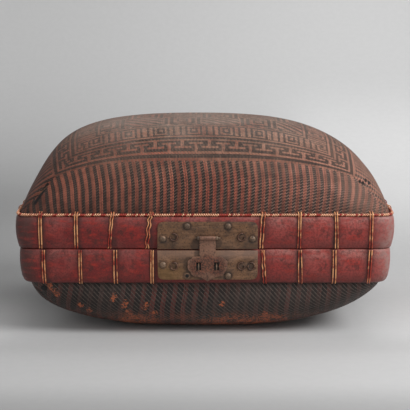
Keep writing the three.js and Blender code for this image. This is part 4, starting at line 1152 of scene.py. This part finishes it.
def ties(half, rim, places, seed):
    """Pairs of rattan strands laced over a band, and the runner that holds them inside."""
    rng, size = random.Random(seed), sizes()
    inset, z = softened(TIE_PATHS[half]).T
    count, t = len(z), np.linspace(0, 1, len(z))
    strands = []
    for side, spots in places.items():
        sign = -1 if side in ("back", "left") else 1
        for spot in spots:
            slant, gap, twist = (rng.uniform(*limits) for limits in TIE_RANGES)
            slant, wander = LOOSE_TIES.get((half, spot), (slant, 0.0))
            for hand in (-1, 1):
                wide, bow, lift = (rng.uniform(*limits) for limits in STRAND_RANGES)
                shift = (hand * gap / 2 + slant * (0.35 - np.minimum(t, 0.5)) * 2 + hand * twist * np.sin(5 * t)
                         + bow * np.sin(9 * t + hand) + wander * np.sin(52 * t + 0.4 * hand))
                here, ahead = (rim_point(side, spot + shift + step, inset - lift, rim) for step in (0, 0.5))
                along = unit(np.column_stack([ahead - here, 0 * t])) * sign
                strands.append(strand(np.column_stack([here, z]), along, size.strand_width / MM * wide,
                                      size.strand_thickness / MM))
    faces = grid_faces(count, STRAND_SIDES, (False, True))[:, [0, 3, 2, 1]].tolist()
    faces += [list(range(STRAND_SIDES))[::-1], list(range((count - 1) * STRAND_SIDES, count * STRAND_SIDES))]
    faces = [[index + k * count * STRAND_SIDES for index in face] for k in range(len(strands)) for face in faces]
    piece = new_piece(f"{half}_ties", np.stack([points for points, _ in strands]), faces)
    vertex_uv(piece, "strand", *[cells for _, cells in strands])
    angles, _ = ring_angles(rim, RUNNER_STATIONS)
    (inset, z), (thick, high) = RUNNERS[half], RUNNER_HALF
    edges = ((-thick, -high), (thick, -high), (thick, high), (-thick, high))
    runner = ring_loft(f"{half}_runner", [rim_ring(angles, rim, inset - dx, z + dz) for dx, dz in edges])
    set_uv(runner, "strand", np.full((len(runner.data.loops), 2), 0.5))
    return smooth(join(piece, runner), 60)


# Lock and hinges

def from_lock(places):
    """Places on the front, given across from the lock's centre line and up from the seam."""
    return [(LOCK_X + x, SEAM + z) for x, z in places]


def refined(node, name, bevel, segments=2):
    """Copy of a solid with its edges worn round."""
    piece = copy_of(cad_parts[node], name)
    merge_seams(piece)
    edit_all(piece, bpy.ops.mesh.dissolve_limited, angle_limit=math.radians(2))
    return bevelled(piece, bevel, segments, 38)


def nail_master():
    """Domed nail with its head's back at the origin, facing forward."""
    size = sizes()
    bpy.ops.mesh.primitive_uv_sphere_add(segments=20, ring_count=12, radius=size.nail_radius)
    head = bpy.context.object
    edit_all(head, bpy.ops.mesh.bisect, plane_co=(0, 0, 0), plane_no=(0, 0, 1), use_fill=True, clear_inner=True)
    head.scale = (1, 1, size.nail_rise / size.nail_radius)
    apply_place(head)
    bpy.ops.mesh.primitive_cylinder_add(
        vertices=10, radius=SHANK_RADIUS * MM, depth=SHANK_LENGTH * MM, location=(0, 0, -SHANK_LENGTH / 2 * MM))
    nail = join(head, apply_place(bpy.context.object))
    nail.data.transform(Matrix.Rotation(math.radians(90), 4, "X"))
    return smooth(nail, 50)


def curl_points(hand):
    """Wire that leaves its hole and curls over the plate."""
    share = np.linspace(0, 1, 19)
    turn, radius = np.radians(CURL_START - CURL_TURN * share), CURL_RADIUS - CURL_TIGHTENING * share ** 2
    curl = points_of(hand * radius * np.cos(turn), -1.0, radius * np.sin(turn) - CURL_DROP)
    return [curl[0] + (0, 4, 0), curl[0] + (0, 1.2, 0), *curl]


def staple_points():
    """Staple's wire from one leg round to the other."""
    turn = np.linspace(0, math.pi, 11)
    bend = points_of(0, -STAPLE_REACH - STAPLE_HALF * np.sin(turn), STAPLE_HALF * np.cos(turn))
    return [(0, 6, STAPLE_HALF), *bend, (0, 6, -STAPLE_HALF)]


def rod(name, node, radius):
    """Round bar over a node that lies side to side."""
    low, high = (Vector(corner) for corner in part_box(node))
    bpy.ops.mesh.primitive_cylinder_add(
        vertices=24, radius=radius * MM, depth=high.x - low.x, location=(low + high) / 2,
        rotation=(0, math.pi / 2, 0))
    piece = apply_place(bpy.context.object)
    piece.name = piece.data.name = name
    return bevelled(piece, ROD_BEVEL * MM)


# Operators

class BAMBOO_OT_weave(bpy.types.Operator):
    """Weave the lid and the base"""

    bl_idname = "bamboo_box.weave"
    bl_label = "Weave"

    def execute(self, context):
        inside = inside_material()
        dress(lid_top(), "lid", "lid_weave", "lid_shell", lid_weave_material("lid_weave_top", True), inside)
        dress(lid_sides(), "lid", "lid_weave", "lid_shell", lid_weave_material("lid_weave_sides", False), inside)
        dress(base_wall(), "base", "base_weave", "base_shell", base_weave_material(), inside)
        return {"FINISHED"}


class BAMBOO_OT_bands(bpy.types.Operator):
    """Add the lacquered bands and finish the plain hoops"""

    bl_idname = "bamboo_box.bands"
    bl_label = "Bands and hoops"

    def execute(self, context):
        lacquer, hoop = lacquer_material(), hoop_material()
        for half, shape in BANDS.items():
            dress(band(half, *shape), half, "red_lacquer", f"{half}_outer_band", lacquer)
            hoop_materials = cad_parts[f"{half}_inner_hoop"].data.materials
            hoop_materials.clear()
            hoop_materials.append(hoop)
        return {"FINISHED"}


class BAMBOO_OT_lacing(bpy.types.Operator):
    """Add the wrapped cord and the rattan ties"""

    bl_idname = "bamboo_box.lacing"
    bl_label = "Cord and ties"

    def execute(self, context):
        wrapped = rattan_material("wrapped_rattan", "wraps", True)
        dress(wrapped_cord(), "lid", "rattan", "lid_trim_cord", wrapped)
        strands = rattan_material("rattan_strands", "strand", False)
        dress(ties("lid", LID_RIM, LID_TIES, 4), "lid", "rattan", "lid_lacing", strands)
        dress(ties("base", BASE_RIM, BASE_TIES, 9), "base", "rattan", "base_lacing", strands)
        return {"FINISHED"}


class BAMBOO_OT_lock(bpy.types.Operator):
    """Add the lock plates, hasp, staples, nails and wire curls"""

    bl_idname = "bamboo_box.lock"
    bl_label = "Lock"

    def execute(self, context):
        tones = colours()
        spots = [place for row in LOCK_NAILS.values() for place in row.values()]
        spots += [(x, z - CURL_DROP) for row in LOCK_CURLS.values() for x, z in row.values()]
        slots = from_lock([(-STAPLE_X, STAPLE_Z), (0, STAPLE_Z + RUST_RISE), (STAPLE_X, STAPLE_Z)])
        # Where the staples pass through, painted dark as the shade in the slots
        hole_shadows = [(x, z + rise) for x, z in slots[::2] for rise in (-STAPLE_HALF, 0, STAPLE_HALF)]
        headless = from_lock([LOCK_NAILS["lower"][HEADLESS_NAIL]])
        plate = brass_material("plate_brass", tones.brass, tones.brass_dark, from_lock(spots), hole_shadows=hole_shadows)
        dark_brass = brass_material("aged_brass", (104, 78, 60), (66, 50, 40), hole_shadows=headless, hole_radius=2.6)
        nail_brass = brass_material("nail_brass", (122, 98, 78), (72, 56, 44))
        curl_brass = brass_material("curl_brass", (88, 58, 44), (52, 36, 28))
        red_brass = brass_material("hasp_brass", tones.hasp, (100, 68, 54), rust=slots)
        for row, body in BODY_OF_ROW.items():
            node = f"lock_plate_{row}"
            dress(refined(node, f"{node}_face", sizes().plate_bevel), body, "aged_brass", node, plate)
        dress(refined("hasp", "hasp_face", HASP_BEVEL * MM, 3), "hasp", "hasp_brass", "hasp", red_brass)
        dress(rod("hasp_rod", "hasp_pin", HASP_ROD_RADIUS), "lid", "aged_brass", "hasp_pin", nail_brass)
        for side, x in (("left", -STAPLE_X), ("right", STAPLE_X)):
            eye, staple = f"hasp_eye_{side}", f"lock_staple_{side}"
            dress(refined(eye, f"{eye}_ring", EYE_BEVEL * MM), "lid", "aged_brass", eye, nail_brass)
            bent = wire(f"{staple}_wire", staple_points(), (x, STAPLE_Z), STAPLE_RADIUS, 3)
            dress(bent, "base", "aged_brass", staple, nail_brass)
        nail = nail_master()
        for row, body in BODY_OF_ROW.items():
            for name, (x, z) in LOCK_NAILS[row].items():
                low = name == HEADLESS_NAIL
                place = Matrix.Translation(Vector((LOCK_X + x, PLATE_FACE, SEAM + z)) * MM)
                turn = Matrix.Rotation(x + z, 4, "Y")
                flat = Matrix.Scale(HEADLESS_HEIGHT if low else 1, 4, (0, 1, 0))
                head = copy_of(nail, f"nail_{row}_{name}", place @ turn @ flat)
                dress(head, body, "aged_brass", f"lock_nail_{row}_{name}", dark_brass if low else nail_brass)
            for name, place in LOCK_CURLS[row].items():
                points = curl_points(-1 if name == "right" else 1)
                curl = wire(f"curl_{row}_{name}", points, place, CURL_WIRE_RADIUS)
                dress(curl, body, "aged_brass", f"lock_curl_{row}_{name}", curl_brass)
        bpy.data.objects.remove(nail)
        return {"FINISHED"}


class BAMBOO_OT_hinges(bpy.types.Operator):
    """Add the two hinges on the back"""

    bl_idname = "bamboo_box.hinges"
    bl_label = "Hinges"

    def execute(self, context):
        brass = brass_material("hinge_brass", colours().brass, colours().brass_dark)
        nail = nail_master()
        for side in ("left", "right"):
            for half in ("lid", "base"):
                leaf = f"hinge_{side}_{half}_leaf"
                dress(refined(leaf, f"{leaf}_face", sizes().plate_bevel), half, "aged_brass", leaf, brass)
                for end in ("a", "b"):
                    node = f"hinge_{side}_{half}_nail_{end}"
                    low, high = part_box(node)
                    place = Vector(((low[0] + high[0]) / 2, high[1] - NAIL_SEAT * MM, (low[2] + high[2]) / 2))
                    turned = Matrix.Translation(place) @ Matrix.Rotation(math.pi, 4, "Z")
                    dress(copy_of(nail, f"nail_{side}_{half}_{end}", turned), half, "aged_brass", node, brass)
            pin = f"hinge_{side}_pin"
            dress(rod(f"{pin}_rod", pin, HINGE_ROD_RADIUS), "base", "aged_brass", pin, brass)
        bpy.data.objects.remove(nail)
        return {"FINISHED"}


class BAMBOO_OT_stage(bpy.types.Operator):
    """Add the pale floor and backdrop with painted light and shadows, the soft lights and the camera"""

    bl_idname = "bamboo_box.stage"
    bl_label = "Stage"

    def execute(self, context):
        scene = context.scene
        bpy.ops.mesh.primitive_grid_add(x_subdivisions=1, y_subdivisions=48, size=1)
        stage = bpy.context.object
        stage.name = stage.data.name = "studio_floor"
        bend = BEND_RADIUS * math.pi / 2
        for vertex in stage.data.vertices:
            walk = STAGE_FRONT + (vertex.co.y + 0.5) * (BEND_FROM - STAGE_FRONT + bend + BACKDROP)
            turn = min(max(walk - BEND_FROM, 0), bend) / BEND_RADIUS
            vertex.co = (vertex.co.x * STAGE_WIDTH, min(walk, BEND_FROM) + BEND_RADIUS * math.sin(turn),
                         BEND_RADIUS * (1 - math.cos(turn)) + max(walk - BEND_FROM - bend, 0))
        smooth(stage, 60)
        graph, tones, place = new_material("studio_grey", 0.1, Roughness=0.9)
        x, y, z = place.parts()
        # The floor is painted with light and shade: a painted shadow behind the box, darkest on the left, painted
        # light rising toward the right, a painted shadow in front of the box, and painted light and shade on the
        # right side
        behind = y.ramp(-0.1, 0.1) * y.ramp(1.9, 0.7)
        light = x.ramp(-0.5, 0.5, 0.97, 1.15) - x.ramp(-0.5, 0.5, 0.5, 0.1) * behind
        front = y.ramp(-0.11, -0.21, 1, 0.74) * y.ramp(-0.33, -0.45, 1, 0.7)
        beside = y.ramp(-0.24, -0.1, 0, -0.2) + y.ramp(0.25, 1.1, 0, 0.4) + z.ramp(0.02, 0.2, 0, -0.2)
        grain = place.noise(90).ramp(0.3, 0.7, 0, 0.04)
        colour = graph.mix(grain, tones.floor, (150, 150, 150))
        graph.shade(Base_Color=graph.shaded(colour, light * (front * (x.ramp(0.1, 0.3) * beside + 1))))
        stage.data.materials.append(graph.material)
        for name, (place, aim, width, power) in LAMPS.items():
            light = bpy.data.lights.new(name, "AREA")
            light.shape, light.size, light.energy = "DISK", width, power
            lamp = new_object(name, light)
            lamp.location = place
            lamp.rotation_euler = (Vector(aim) - Vector(place)).to_track_quat("-Z", "Y").to_euler()
        scene.world = bpy.data.worlds.new("studio")
        scene.world.use_nodes = True
        sky = scene.world.node_tree.nodes["Background"].inputs
        sky[0].default_value, sky[1].default_value = (1, 1, 1, 1), SKY_LIGHT
        lens = bpy.data.cameras.new("camera")
        lens.lens, lens.sensor_width, lens.shift_y = CAMERA_LENS, 36, CAMERA_SHIFT
        scene.camera = new_object("camera", lens)
        scene.camera.location = (0, -CAMERA_DISTANCE * math.cos(CAMERA_TILT),
                                 SEAM * MM + CAMERA_DISTANCE * math.sin(CAMERA_TILT))
        scene.camera.rotation_euler = (math.pi / 2 - CAMERA_TILT, 0, 0)
        scene.view_settings.view_transform = "Standard"
        return {"FINISHED"}


class BAMBOO_PT_panel(bpy.types.Panel):
    """Sizes, colours and pieces of the box"""

    bl_idname = "BAMBOO_PT_panel"
    bl_label = "Bamboo Box"
    bl_space_type = "VIEW_3D"
    bl_region_type = "UI"
    bl_category = "Bamboo Box"

    def draw(self, context):
        for group in (sizes(), colours()):
            column = self.layout.column()
            for name in group.__annotations__:
                column.prop(group, name)
        for operator in OPERATORS:
            self.layout.operator(operator.bl_idname)


OPERATORS = (BAMBOO_OT_stage, BAMBOO_OT_weave, BAMBOO_OT_bands, BAMBOO_OT_lacing, BAMBOO_OT_lock,
             BAMBOO_OT_hinges)
CLASSES = (BoxSizes, BoxColours) + OPERATORS + (BAMBOO_PT_panel,)


def register():
    for cls in CLASSES:
        bpy.utils.register_class(cls)
    bpy.types.Scene.bamboo_box_sizes = bpy.props.PointerProperty(type=BoxSizes)
    bpy.types.Scene.bamboo_box_colours = bpy.props.PointerProperty(type=BoxColours)


def unregister():
    del bpy.types.Scene.bamboo_box_colours
    del bpy.types.Scene.bamboo_box_sizes
    for cls in reversed(CLASSES):
        bpy.utils.unregister_class(cls)


def main():
    register()
    bpy.ops.bamboo_box.stage()
    bpy.ops.bamboo_box.weave()
    bpy.ops.bamboo_box.bands()
    bpy.ops.bamboo_box.lacing()
    bpy.ops.bamboo_box.lock()
    bpy.ops.bamboo_box.hinges()


if __name__ == "__main__":
    main()
